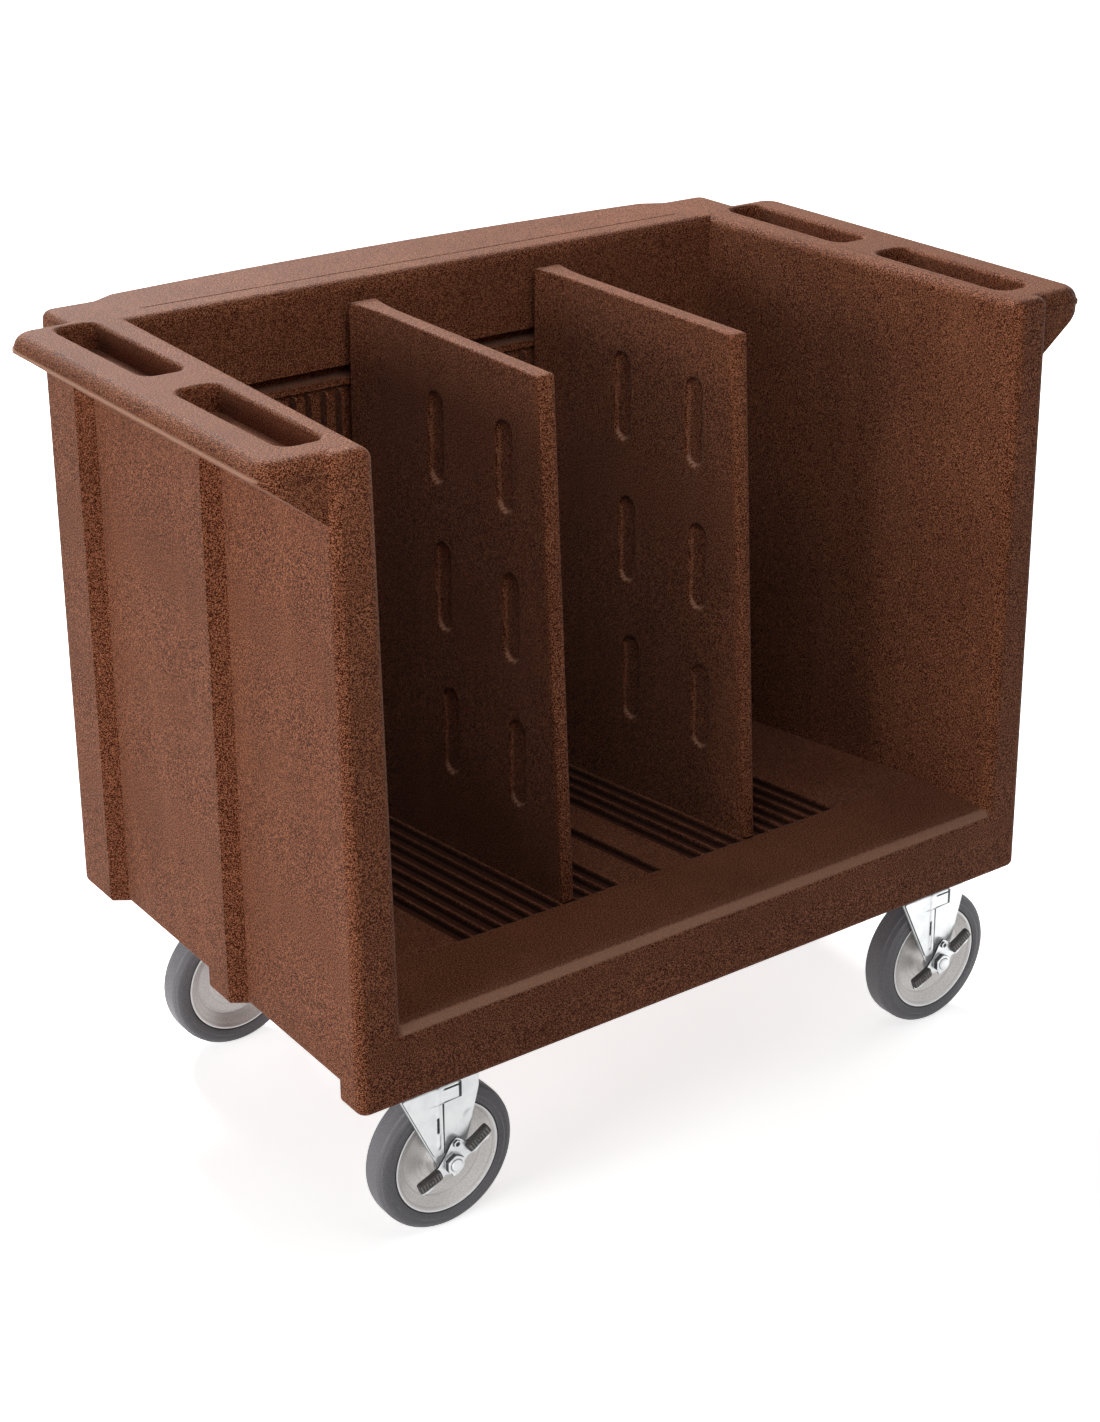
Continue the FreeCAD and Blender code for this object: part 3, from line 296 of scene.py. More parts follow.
def makeWheelGrey():
    # Cast centre: fine speckle, and faint arcs left by turning
    v = wheelGreyValues
    finish = Finish(bpy.data.materials.new("wheel_grey"))
    own = finish.attribute("own", "Vector")
    radius = finish.fromAxle(own)
    grain = finish.noise(own, *v["grain"])
    lathe = finish.noise(finish.add("ShaderNodeCombineXYZ", {}, {0: radius}), *v["lathe"])
    patch = finish.noise(own, *v["patches"])
    arcs = lathe.ramp(*v["latheRange"]) * patch.ramp(*v["patchRange"]) * v["latheShare"]
    ring = radius.ramp(*v["ringFrom"]) * (1 - radius.ramp(*v["ringTo"]))
    base = finish.mix(grain.ramp(*v["grainRange"]), v["dark"], v["colour"])
    base = finish.mix(arcs, base, v["dark"])
    # Painted highlight along the bead round the disc
    base = finish.mix(ring * v["ringHighlightShare"], base, v["ring"])
    # Painted shade at the hub's foot, the rim's step and the seam under the tyre
    base = finish.mix(finish.attribute("shade").ramp(*shadeRange), base, paintedShade)
    return finish.set({
        "Base Color": base,
        "Roughness": v["roughness"],
        "Metallic": v["metallic"],
        "Specular IOR Level": v["gloss"],
        "Normal": finish.bump(grain + lathe * v["latheRelief"], v["relief"]),
    })


tyreGreyValues = {
    "colour": (0.235, 0.231, 0.248),
    "dark": (0.165, 0.160, 0.174),
    "pale": (0.42, 0.41, 0.44),      # scuffs
    "line": (0.03, 0.03, 0.033),     # painted shade in the pressed lines and in the seam at the rim
    "lineShadeShare": 0.8,
    "grain": (1000.0, 3.0, 0.6),
    "grainRange": (0.38, 0.66),
    "scuffs": (300.0, 2.0, 0.6),
    "scuffRange": (0.52, 0.70),
    "scuffShare": 0.55,
    "scuffRelief": 0.5,
    "patches": (22.0, 3.0, 0.5),
    "patchRange": (0.40, 0.66),
    "roughness": 0.48,
    "roughnessSpread": 0.2,
    "gloss": 0.45,
    "relief": 0.00012,
}


def makeTyreGrey():
    # Fine grain, and scuffs that run round the tyre
    v = tyreGreyValues
    finish = Finish(bpy.data.materials.new("tyre_grey"))
    own = finish.attribute("own", "Vector")
    radius = finish.fromAxle(own)
    across = finish.add("ShaderNodeSeparateXYZ", {}, {0: own}, "Y")
    grain = finish.noise(own, *v["grain"])
    scuff = finish.noise(finish.add("ShaderNodeCombineXYZ", {}, {0: radius, 1: across}), *v["scuffs"])
    patch = finish.noise(own, *v["patches"])
    scuffed = scuff.ramp(*v["scuffRange"]) * patch.ramp(*v["patchRange"]) * v["scuffShare"]
    base = finish.mix(grain.ramp(*v["grainRange"]), v["dark"], v["colour"])
    base = finish.mix(scuffed, base, v["pale"])
    # Painted shade in the pressed lines and against the rim
    base = finish.mix(finish.attribute("shade").ramp(*shadeRange) * v["lineShadeShare"], base, v["line"])
    return finish.set({
        "Base Color": base,
        "Roughness": v["roughness"] + patch * v["roughnessSpread"],
        "Specular IOR Level": v["gloss"],
        "Normal": finish.bump(grain + scuff * v["scuffRelief"], v["relief"]),
    })


plainValues = {      # two colours, roughness, metallic, and the noise of the specks
    "pad_black": ((0.030, 0.026, 0.024), (0.090, 0.080, 0.074), 0.5, 0.0, (700.0, 3.0, 0.6)),
    "bearing_steel": ((0.30, 0.30, 0.31), (0.62, 0.62, 0.62), 0.3, 0.95, (500.0, 3.0, 0.6)),
    "brass_insert": ((0.55, 0.38, 0.14), (0.68, 0.50, 0.22), 0.35, 0.95, (500.0, 3.0, 0.6)),
}
speckValues = {
    "range": (0.35, 0.7),
    "roughnessSpread": 0.2,
    "relief": 0.00005,
    "pale": (0.26, 0.24, 0.23),      # painted highlight on the tips of the pads' ribs
}


def makePlain(name):
    # Two colours by specks. The piece's shade attribute gives a painted highlight below 0 and painted shade
    # above it
    v = speckValues
    first, second, roughness, metallic, specks = plainValues[name]
    finish = Finish(bpy.data.materials.new(name))
    grain = finish.noise(finish.place(), *specks)
    shade = finish.attribute("shade")
    base = finish.mix(grain.ramp(*v["range"]), first, second)
    base = finish.mix((0 - shade).ramp(0.0, 1.0), base, v["pale"])
    base = finish.mix(shade.ramp(0.0, 1.0), base, paintedShade)
    return finish.set({
        "Base Color": base,
        "Metallic": metallic,
        "Roughness": roughness + (grain - 0.5) * v["roughnessSpread"],
        "Normal": finish.bump(grain, v["relief"]),
    })


finishes = {"moulded_brown": makeMoulded(), "zinc_steel": makeZinc(), "wheel_grey": makeWheelGrey(),
            "tyre_grey": makeTyreGrey(), **{name: makePlain(name) for name in plainValues}}
nodeSlots = {        # how a node's name starts, and its finish
    "cart_body": "moulded_brown", "divider": "moulded_brown", "plate": "zinc_steel",
    "kingpin": "zinc_steel", "ball": "bearing_steel", "fork": "zinc_steel", "axle": "zinc_steel",
    "bearing": "bearing_steel", "wheel": "wheel_grey", "tyre": "tyre_grey", "brake": "zinc_steel",
    "pedal": "pad_black", "thread": "brass_insert",
}
for name, node in nodes.items():
    slot = next(nodeSlots[start] for start in nodeSlots if name.startswith(start))
    node.data.materials.clear()
    node.data.materials.append(finishes[slot])
print("materials set")


# Shapes: each is worked out on a grid of points, rows by columns.
def cutThrough(quads, index, firstRow, lastRow, firstColumn, lastColumn, mirror):
    # A block of quads goes on both faces, and four walls join the two rims.
    # Column k of the front lies against column mirror - k of the back.
    kept = np.ones(quads.shape[:2], bool)
    kept[firstRow:lastRow, firstColumn:lastColumn] = False
    kept[firstRow:lastRow, mirror - lastColumn:mirror - firstColumn] = False
    block = np.arange(firstRow, lastRow + 1)[:, None], np.arange(firstColumn, lastColumn + 1)
    front, back = index[block[0], block[1]], index[block[0], mirror - block[1]]
    walls = [np.stack([front[0, :-1], front[0, 1:], back[0, 1:], back[0, :-1]], -1),
             np.stack([front[-1, 1:], front[-1, :-1], back[-1, :-1], back[-1, 1:]], -1),
             np.stack([front[:-1, -1], front[1:, -1], back[1:, -1], back[:-1, -1]], -1),
             np.stack([front[1:, 0], front[:-1, 0], back[:-1, 0], back[1:, 0]], -1)]
    return np.concatenate([quads[kept]] + walls)


def skin(name, points, body, slot, shade=None, about=(0, 0, 0), torus=False, sharp=38, opening=None):
    # Quads join neighbouring points. Columns close into rings, and rows close too (torus) or end in caps.
    # An opening is a block of rows and columns cut through to the mirrored columns.
    rows, columns = points.shape[:2]
    index = np.arange(rows * columns).reshape(rows, columns)
    across = np.roll(index, -1, axis=1)
    if torus:
        quads = np.stack([index, across, np.roll(across, -1, axis=0), np.roll(index, -1, axis=0)], -1)
        faces = quads.reshape(-1, 4).tolist()
    else:
        quads = np.stack([index[:-1], across[:-1], across[1:], index[1:]], -1)
        if opening is not None:
            quads = cutThrough(quads, index, *opening)
        faces = quads.reshape(-1, 4).tolist() + [index[0, ::-1].tolist(), index[-1].tolist()]
    flat = points.reshape(-1, 3)
    # The volume inside the quads and caps, as a sum of triple products: its sign tells in from out
    middle = flat.mean(axis=0)
    a, b, c, d = (flat[quads.reshape(-1, 4)[:, k]] - middle for k in range(4))
    volume = (a * np.cross(b, c)).sum() + (a * np.cross(c, d)).sum()
    if not torus:
        for ring, way in ((points[0] - middle, -1), (points[-1] - middle, 1)):
            volume += way * (ring[0] * np.cross(ring[:-1], ring[1:])).sum()
    if volume < 0:
        faces = [face[::-1] for face in faces]
    mesh = bpy.data.meshes.new(name)
    mesh.from_pydata(flat.tolist(), [], faces)
    mesh.shade_smooth()
    mesh.set_sharp_from_angle(angle=math.radians(sharp))
    own = mesh.attributes.new("own", "FLOAT_VECTOR", "POINT")
    own.data.foreach_set("vector", (flat - np.array(about)).ravel())
    if shade is not None:
        dark = mesh.attributes.new("shade", "FLOAT", "POINT")
        dark.data.foreach_set("value", np.ascontiguousarray(shade, dtype=np.float64).ravel())
    mesh.materials.append(finishes[slot])
    piece = bpy.data.objects.new(name, mesh)
    bpy.context.scene.collection.objects.link(piece)
    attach(piece, body)
    return piece


def turned(profile, centre, count, upright=False):
    # Radius and offset along an axis, carried once round it by the cosine and sine of the angle.
    # The axis lies along y, or stands along z.
    angle = np.linspace(0, 2 * math.pi, count, endpoint=False)[:, None]
    radius, along = profile[:, 0], profile[:, 1]
    first, second, third = radius * np.cos(angle), along + 0 * angle, radius * np.sin(angle)
    return np.stack([first, third, second] if upright else [first, second, third], -1) + centre


def softCorners(corners, cut, steps=5):
    # Each corner of the outline gives way to a short parabola that starts and ends a cut from it
    corners = np.array(corners, float)
    before = np.roll(corners, 1, axis=0) - corners
    after = np.roll(corners, -1, axis=0) - corners
    first = corners + before / np.linalg.norm(before, axis=1)[:, None] * cut
    last = corners + after / np.linalg.norm(after, axis=1)[:, None] * cut
    t = np.linspace(0, 1, steps)[:, None, None]
    curve = (1 - t) ** 2 * first + 2 * t * (1 - t) * corners + t ** 2 * last
    return curve.transpose(1, 0, 2).reshape(-1, 2)


def cutSheet(outline, low, high, softness, place, axis=1):
    # A flat outline carried from low to high, its rim drawn in along a quarter circle at both faces.
    # Also gives how much of each ring is edge: the root of a sine from one face to the other.
    ahead = np.roll(outline, -1, axis=0) - np.roll(outline, 1, axis=0)
    normal = np.stack([ahead[:, 1], -ahead[:, 0]], -1) / np.linalg.norm(ahead, axis=1)[:, None]
    x, z = outline.T
    if (x * np.roll(z, -1) - z * np.roll(x, -1)).sum() < 0:
        normal = -normal
    turn = np.linspace(0, math.pi / 2, 4)
    inset = softness * (1 - np.sin(turn))
    depth = softness * (1 - np.cos(turn))
    inset = np.concatenate([inset, inset[::-1]])
    level = np.concatenate([low + depth, high - depth[::-1]])
    flat = outline - normal * inset[:, None, None]
    level = np.broadcast_to(level[:, None], flat.shape[:2])
    order = [flat[..., 0], level, flat[..., 1]] if axis == 1 else [level, flat[..., 0], flat[..., 1]]
    edge = np.sin(np.linspace(0, math.pi, len(inset)))[:, None] + 0 * level
    return np.stack(order, -1) + np.array(place), edge ** 0.5


def smooth(value, low, high):
    # 0 below low, 1 above high, and a cubic ease between them
    t = np.clip((value - low) / (high - low), 0, 1)
    return t * t * (3 - 2 * t)


def softPower(value, power):
    # A power of the size, with the sign kept
    return np.sign(value) * np.abs(value) ** power


casterValues = {
    "places": {"front_left": (-0.318, -0.234), "front_right": (0.318, -0.234),
               "rear_left": (-0.318, 0.170), "rear_right": (0.318, 0.170)},      # kingpins
    "trail": 0.026,          # kingpin to axle
    "axleHeight": 0.0762,
}

# Half the disc's section in millimetres: bore, hub face, dish, web and rim bead.
discValues = {
    "radii": [11.06, 12.5, 16.6, 17.8, 18.2, 20.0, 24.0, 29.0, 34.0, 38.5, 41.0, 42.3, 43.6, 48.5,
              50.6, 51.8, 53.6, 55.0, 55.6, 56.4, 57.4, 58.0, 58.15],
    "halves": [17.0, 17.15, 17.15, 16.9, 16.2, 9.6, 7.0, 5.6, 4.9, 4.7, 4.75, 5.0, 5.6, 9.2,
               10.9, 11.8, 13.0, 13.9, 14.8, 15.2, 15.2, 14.6, 13.5],
    "count": 96,
    "corners": [4, 5, 18, -19, -6, -5],      # points at the hub's foot and the rim's step, given painted shade
    "cornerShade": 0.35,
    "seam": slice(21, 25),   # points under the tyre, given full painted shade
    "sharp": 60,             # degrees past which an edge stays sharp
}

tyreValues = {
    "radius": 0.0762,
    "rim": 0.0582,
    "half": 0.0158,          # half the width
    "shoulder": 0.0012,      # first step outward from the rim
    "wall": [(0.05829, 0.0139), (0.0588, 0.0147), (0.0592, 0.0152)],     # down to the rim
    "treadPower": 0.42,
    "crownPower": 0.5,
    "lines": [(0.0125, 0.0006), (0.0098, 0.0005)],   # place and width of the fine lines
    "lineInner": 0.07,       # no line nearer to the axle
    "lineDepth": 0.0007,
    "lineShade": 0.45,
    "steps": 61,             # round the section
    "count": 120,
    "sharp": 60,
}


def tyreProfile():
    # Tread crowned between rounded shoulders: half width times a power of the cosine of the turn, and
    # height times a power of its sine. Lines are pressed in where the distance to each is small, with painted
    # shade in them.
    v = tyreValues
    t = np.linspace(0, math.pi, v["steps"])
    across = v["half"] * softPower(np.cos(t), v["treadPower"])
    start = v["rim"] + v["shoulder"]
    radius = start + (v["radius"] - start) * np.sin(t) ** v["crownPower"]
    wall = np.array(v["wall"])
    outer = np.concatenate([wall, np.stack([radius, across], -1)[1:-1], wall[::-1] * (1, -1)])
    shade = np.zeros(len(outer))
    for line, width in v["lines"]:
        near = np.exp(-((np.abs(outer[:, 1]) - line) / width) ** 2) * (outer[:, 0] > v["lineInner"])
        outer[:, 0] -= v["lineDepth"] * near
        shade += near * v["lineShade"]
    shade[[0, 1, -2, -1]] = 1.0      # painted shade in the seam against the rim
    return outer, shade


def makeWheel(place, axle):
    # The disc's half section and its mirror image, turned about the axle, and the tyre round it
    v, body = discValues, f"roller_{place}"
    side = np.stack([np.array(v["radii"]) / 1000, np.array(v["halves"]) / 1000], -1)
    points = turned(np.concatenate([side, side[::-1] * (1, -1)]), axle, v["count"])
    shade = np.zeros(points.shape[:2])
    shade[:, v["corners"]] = v["cornerShade"]
    shade[:, v["seam"]] = 1.0
    disc = skin(f"wheel_disc_{place}", points, body, "wheel_grey", shade, axle, torus=True,
                sharp=v["sharp"])
    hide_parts(f"wheel_{place}")
    outer, shade = tyreProfile()
    points = turned(outer, axle, tyreValues["count"])
    shade = np.broadcast_to(shade, points.shape[:2])
    tyre = skin(f"tyre_tread_{place}", points, body, "tyre_grey", shade, axle, torus=True,
                sharp=tyreValues["sharp"])
    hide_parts(f"tyre_{place}")


legValues = {
    "face": 0.0200,          # outside of the legs, from the fork's middle plane
    "thickness": 0.0025,
    "bendThickness": 0.0015,     # more of it at the crown
    "crownTop": 0.1760,
    "sheetTop": 0.002,       # the sheet's middle, below the crown's top
    "bend": 0.0060,
    "boss": 0.0160,          # radius round the axle
    "near": -0.037,          # the crown's ends, from the kingpin
    "far": 0.060,
    "shoulder": 0.146,       # height where the trailing edge turns upright
    "footRows": [0.15, 0.6, 1.8, 3.5, 6, 8, 10, 12, 14, 16],     # millimetres above the foot
    "legStart": 0.096,       # first height of the even rows
    "legRows": 20,
    "windowRows": 5,
    "bendGap": 0.001,        # the last straight row, below the bend
    "columns": 25,
    "rib": 0.0006,
    "ribWidth": 0.003,
    "ribFrom": (0.098, 0.108),
    "ribTo": (0.140, 0.150),
    "dimple": 0.0012,
    "dimpleInset": 0.006,
    "dimpleHeight": 0.1195,
    "dimpleRadii": (0.0035, 0.0062),
    "window": (0.1520, 0.1605),  # heights of the opening that the brake shoe passes
    "windowCells": (29, 33, 11, 18, 52),     # its rows and columns, and the sum of mirrored columns
    "edgeShade": 0.62,
    "crown": [(6.2, 172), (31.5, 172), (32.6, 172.4), (33, 173.4), (33, 174.6), (32.6, 175.6),
              (31.5, 176), (6.2, 176)],      # section of the ball race's seat, in millimetres
    "crownCount": 64,
}


def legEdges(z):
    # Leading and trailing edges at a height: a half circle under the axle, then straight lines
    v, c = legValues, casterValues
    under = np.sqrt(np.clip(v["boss"] ** 2 - np.clip(c["axleHeight"] - z, 0, None) ** 2, 0, None))
    climb = np.clip((z - c["axleHeight"]) / (v["crownTop"] - c["axleHeight"]), 0, 1)
    rise = np.clip((z - c["axleHeight"]) / (v["shoulder"] - c["axleHeight"]), 0, 1)
    near = c["trail"] - under + (v["near"] - c["trail"] + v["boss"]) * climb
    far = c["trail"] + under + (v["far"] - c["trail"] - v["boss"]) * rise
    return near, far


def ribbon(middle, normal, near, far, thickness, count, relief):
    # A strip of sheet along a middle line. Across it x runs from near to far on one face and back on the
    # other, half the thickness out along the normal plus the relief, and its long edges are half round.
    # A strip narrower than its edges keeps a sliver of flat.
    half = np.broadcast_to(thickness, near.shape)[:, None] / 2
    near, far = near[:, None], far[:, None]
    share = np.append(np.linspace(0, 0.965, count - 1), 1)
    turn = np.linspace(-math.pi / 2, math.pi / 2, 5)[1:-1]
    flatX = near + half + np.clip(far - near - 2 * half, 0.0002, None) * share
    x = np.concatenate([flatX, flatX[:, -1:] + half * np.cos(turn), flatX[:, ::-1],
                        flatX[:, :1] - half * np.cos(turn)], axis=1)
    out = half * np.concatenate([np.ones(count), -np.sin(turn), -np.ones(count), np.sin(turn)])
    out = out + relief(x, middle[:, 1:])
    edge = np.concatenate([np.zeros(count), np.ones(3), np.zeros(count), np.ones(3)]) + 0 * x
    return np.stack([x, middle[:, :1] + normal[:, :1] * out, middle[:, 1:] + normal[:, 1:] * out], -1), edge


def makeFork(place, x, y, braked):
    # The sheet runs up one leg, bends through a quarter circle, crosses the crown and comes down the other
    v, c = legValues, casterValues
    inner = v["face"] - v["thickness"] / 2
    top = v["crownTop"] - v["sheetTop"]
    low = c["axleHeight"] - v["boss"]
    z = np.concatenate([low + np.array(v["footRows"]) / 1000,
                        np.linspace(v["legStart"], v["window"][0], v["legRows"]),
                        np.linspace(*v["window"], v["windowRows"])[1:], [top - v["bend"] - v["bendGap"]]])
    turn = np.linspace(0, math.pi / 2, 6)
    half = np.concatenate([np.stack([0 * z - inner, z], -1),
                           np.stack([v["bend"] * (1 - np.cos(turn)) - inner,
                                     top - v["bend"] * (1 - np.sin(turn))], -1)])
    out = np.concatenate([np.stack([0 * z - 1, 0 * z], -1), np.stack([-np.cos(turn), np.sin(turn)], -1)])
    near, far = legEdges(np.append(z, 0 * turn + v["crownTop"]))
    thick = v["thickness"] + v["bendThickness"] * np.append(0 * z, np.sin(turn) ** 2)
    both = [np.concatenate([side, side[::-1] * way])
            for side, way in ((half, (-1, 1)), (out, (-1, 1)), (near, 1), (far, 1), (thick, 1))]

    def relief(px, pz):
        # A pressed dimple beside the trailing edge, and on plain legs a low rib down the middle
        leading, trailing = legEdges(pz)
        apart = np.hypot(px - trailing + v["dimpleInset"], pz - v["dimpleHeight"])
        dimple = 1 - smooth(apart, *v["dimpleRadii"])
        rib = np.exp(-((px - (leading + trailing) / 2) / v["ribWidth"]) ** 2)
        held = smooth(pz, *v["ribFrom"]) * (1 - smooth(pz, *v["ribTo"]))
        return v["rib"] * rib * held * (not braked) - v["dimple"] * dimple

    points, edge = ribbon(*both, v["columns"], relief)
    # Painted shade along the sheet's long edges
    sheet = skin(f"fork_sheet_{place}", points + (x, y, 0), f"swivel_{place}", "zinc_steel",
                 edge * v["edgeShade"], (x, y, 0), opening=v["windowCells"] if braked else None)
    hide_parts(f"fork_{place}")
    crown = turned(np.array(v["crown"]) / 1000, (x, y, 0), v["crownCount"], upright=True)
    skin(f"fork_crown_{place}", crown, f"swivel_{place}", "zinc_steel", None, (x, y, 0), torus=True)


# Heads and nuts: each ring's share of the inner circle's radius, its share of the height, and its painted
# shade, on the side facets and in the bore.
hexValues = {
    "rings": [(0.30, 0.0, 0), (0.96, 0.0, 0), (1.0, 0.05, 0), (2.0, 0.12, 0.9), (2.0, 0.55, 0.8),
              (2.0, 0.80, 0.8), (1.09, 0.88, 0.7), (1.03, 0.95, 0), (0.97, 1.0, 0), (0.62, 1.0, 0.8),
              (0.58, 0.97, 0.9), (0.30, 0.97, 0.9)],
    "count": 72,
}


def hexagonal(centre, seat, top, flats):
    # Radius round a hexagon, half the flats over the cosine of the angle from the nearest flat,
    # cut off by a cone at the outer face
    angle = np.linspace(0, 2 * math.pi, hexValues["count"], endpoint=False)
    six = flats / 2 / np.cos((angle + math.pi / 6) % (math.pi / 3) - math.pi / 6)
    reach, height, shade = (column[:, None] for column in np.array(hexValues["rings"], float).T)
    radius = np.minimum(reach * flats / 2, six)
    along = height * (top - seat) + seat + 0 * radius
    return np.stack([centre[0] + radius * np.cos(angle), centre[1] + along,
                     centre[2] + radius * np.sin(angle)], -1), shade + 0 * radius


axleValues = {
    "radius": 0.00595,
    "headSeat": 0.0200,      # from the fork's middle plane
    "headTop": 0.0260,
    "flats": 0.018,          # share of the painted shade on the head
    "headShade": 0.6,
    "nutSeats": {True: 0.0249, False: 0.0200},       # with a brake and without
    "nutHeight": 0.0061,
    "rodPast": 0.0081,       # the rod's end, from the nut's seat
    "pitch": 0.0013,
    "turnSteps": 6,
    "count": 32,
    "threadDepth": 0.09,     # share of the radius
    "plain": 0.042,          # length without thread
    "tip": [0.93, 0.88, 0.80],   # rounding of the rod's end
}


def threaded(centre, start, end):
    # A rod along y whose radius falls and rises once in each pitch past the plain length, as a cosine
    v = axleValues
    turns = max(8, round(abs(end - start) / v["pitch"]))
    along = np.linspace(start, end, 1 + v["turnSteps"] * turns)
    ripple = 0.5 - 0.5 * np.cos((along - start) / v["pitch"] * 2 * math.pi)
    cut = np.abs(along - start) > v["plain"]
    ring = v["radius"] - v["threadDepth"] * v["radius"] * ripple * cut
    ring[-3:] = v["radius"] * np.array(v["tip"])
    return turned(np.stack([ring, along], -1), centre, v["count"]).transpose(1, 0, 2)


def makeAxle(place, axle, braked):
    # A rod threaded at its far end, with its head on one leg and a nut on the other, or on the brake
    v, body = axleValues, f"swivel_{place}"
    seat = v["nutSeats"][braked]
    rod = skin(f"axle_rod_{place}", threaded(axle, v["headSeat"], -seat - v["rodPast"]), body, "zinc_steel",
               None, axle)
    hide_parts(f"axle_{place}")
    points, shade = hexagonal(axle, v["headSeat"], v["headTop"], v["flats"])
    skin(f"axle_head_{place}", points, body, "zinc_steel", shade * v["headShade"], axle)
    points, shade = hexagonal(axle, -seat, -seat - v["nutHeight"], v["flats"])
    nut = skin(f"axle_hexnut_{place}", points, body, "zinc_steel", shade, axle)
    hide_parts(f"axle_nut_{place}")


# The brake link. Depths are from the fork's middle plane, and x is from the kingpin.
linkValues = {
    "face": 0.0203,
    "thickness": 0.0018,
    "foot": 0.0872,
    "headLow": 0.1432,
    "headTop": 0.1602,
    "footRows": [0, 0.0003, 0.001, 0.002],
    "rows": (0.092, 0.142, 42),
    "stepRows": [-0.0002, 0.0002, 0.0006, 0.0014],
    "headRows": (0.147, 0.158, 8),
    "topRows": [0.001, 0.0003, 0],
    "columns": 41,
    "near": 0.0115,          # front edge at the axle's height
    "nearSlope": -0.471,
    "rear": 0.0190,
    "headRear": 0.0390,
    "corner": 0.0012,
    "foldAt": 0.0118,
    "foldWidth": 0.0020,
    "foldFrom": (0.093, 0.099),
    "foldHeight": 0.0013,
    "slotHeight": 0.1205,    # its middle
    "slotHalf": 0.0075,
    "slotRadii": (0.0011, 0.0019),
    "slotDepth": 0.0016,
    # painted shadow along the rear edge
    "shadowColumns": slice(39, 41),
    "shadowUnderHead": 0.0013,     # height of the painted shadow strip under the head
    "shadowUnderHeadFrom": 0.0180,
    "shoe": [(0.0160, 0.156), (0.0360, 0.156), (0.0360, 0.159), (0.0160, 0.159)],
    "shoeCorner": 0.0008,
    "shoeDepths": (-0.0221, 0.0100),
    "shoeSoftness": 0.0005,
    "shoeShade": 0.5,
}


def makeLink(place, x, y):
    # A folded plate with a slot pressed along its fold, and the shoe over the tyre
    v, body = linkValues, f"link_{place}"
    z = np.concatenate([v["foot"] + np.array(v["footRows"]), np.linspace(*v["rows"]),
                        v["headLow"] + np.array(v["stepRows"]), np.linspace(*v["headRows"]),
                        v["headTop"] - np.array(v["topRows"])])
    near = v["near"] + v["nearSlope"] * (z - casterValues["axleHeight"])
    far = v["rear"] + (v["headRear"] - v["rear"]) * (z > v["headLow"])
    # Corners: a quarter circle's inset over the first and last of the height
    close = np.clip(1 - np.minimum(z - z[0], z[-1] - z) / v["corner"], 0, 1)
    rounding = v["corner"] * (1 - np.sqrt(1 - close ** 2))
    middle = np.stack([0 * z - v["face"] - v["thickness"] / 2, z], -1)

    def relief(px, pz):
        # A raised fold, as a bell curve across it, less the slot
        fold = np.exp(-((px - v["foldAt"]) / v["foldWidth"]) ** 2) * smooth(pz, *v["foldFrom"])
        return v["foldHeight"] * fold - v["slotDepth"] * inSlot(px, pz)

    def inSlot(px, pz):
        # 1 inside a long oval: the distance to a short upright line, against the oval's radii
        rise = np.abs(pz - v["slotHeight"])
        return 1 - smooth(np.hypot(px - v["foldAt"], rise - np.clip(rise, 0, v["slotHalf"])), *v["slotRadii"])

    points, edge = ribbon(middle, np.tile((-1.0, 0.0), (len(z), 1)), near + rounding, far - rounding,
                          v["thickness"], v["columns"], relief)
    # Painted shade along the long edges and inside the slot, painted shadow along the rear edge and under the
    # head
    px, pz = points[..., 0], points[..., 2]
    dark = np.maximum(edge, inSlot(px, pz))
    dark[:, v["shadowColumns"]] = np.where(z < v["headTop"], 1, 0)[:, None]
    shadowUnderHead = (pz > v["headLow"]) & (pz < v["headLow"] + v["shadowUnderHead"]) & (px > v["shadowUnderHeadFrom"])
    dark = np.maximum(dark, shadowUnderHead)
    plate = skin(f"brake_plate_{place}", points + (x, y, 0), body, "zinc_steel", dark, (x, y, 0))
    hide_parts(f"brake_link_{place}")
    points, edge = cutSheet(softCorners(v["shoe"], v["shoeCorner"]), *v["shoeDepths"], v["shoeSoftness"],
                            (x, y, 0))
    # Painted shade along the shoe's edges
    skin(f"brake_shoe_{place}", points, body, "zinc_steel", edge * v["shoeShade"], (x, y, 0))


# The brake pedal. Its outline is in millimetres from the axle: x and z, or along an arm and across it.
pedalValues = {
    "face": 0.0224,          # from the fork's middle plane
    "thickness": 0.0022,
    "rearArm": (0.846, 0.534),       # directions of the arms
    "frontArm": (-0.938, -0.346),
    "rearOutline": [(43, 3.5), (47, -7), (41, -13), (32, -11), (24, -13), (17, -8.5)],
    "lowOutline": [(11, -6), (7.5, -9.5), (8, -15), (0.5, -17), (-2, -12), (-8, -10.5)],
    "frontOutline": [(17, 9.5), (24, 9.5), (33, 12.5), (41.5, 10), (41.5, -3.5), (16, -5.5)],
    "peakOutline": [(-10.5, 7), (-7, 12), (-2, 21), (4, 26), (10, 22)],
    "rearEnd": [(22, 5.5)],
    "corner": 0.0018,
    "softness": 0.0005,
    "stud": (0.0040, 0.0195),    # in the peak, from the axle
    "studSeat": 0.0004,
    "studHeight": 0.0026,
    "studFlats": 0.0070,
}


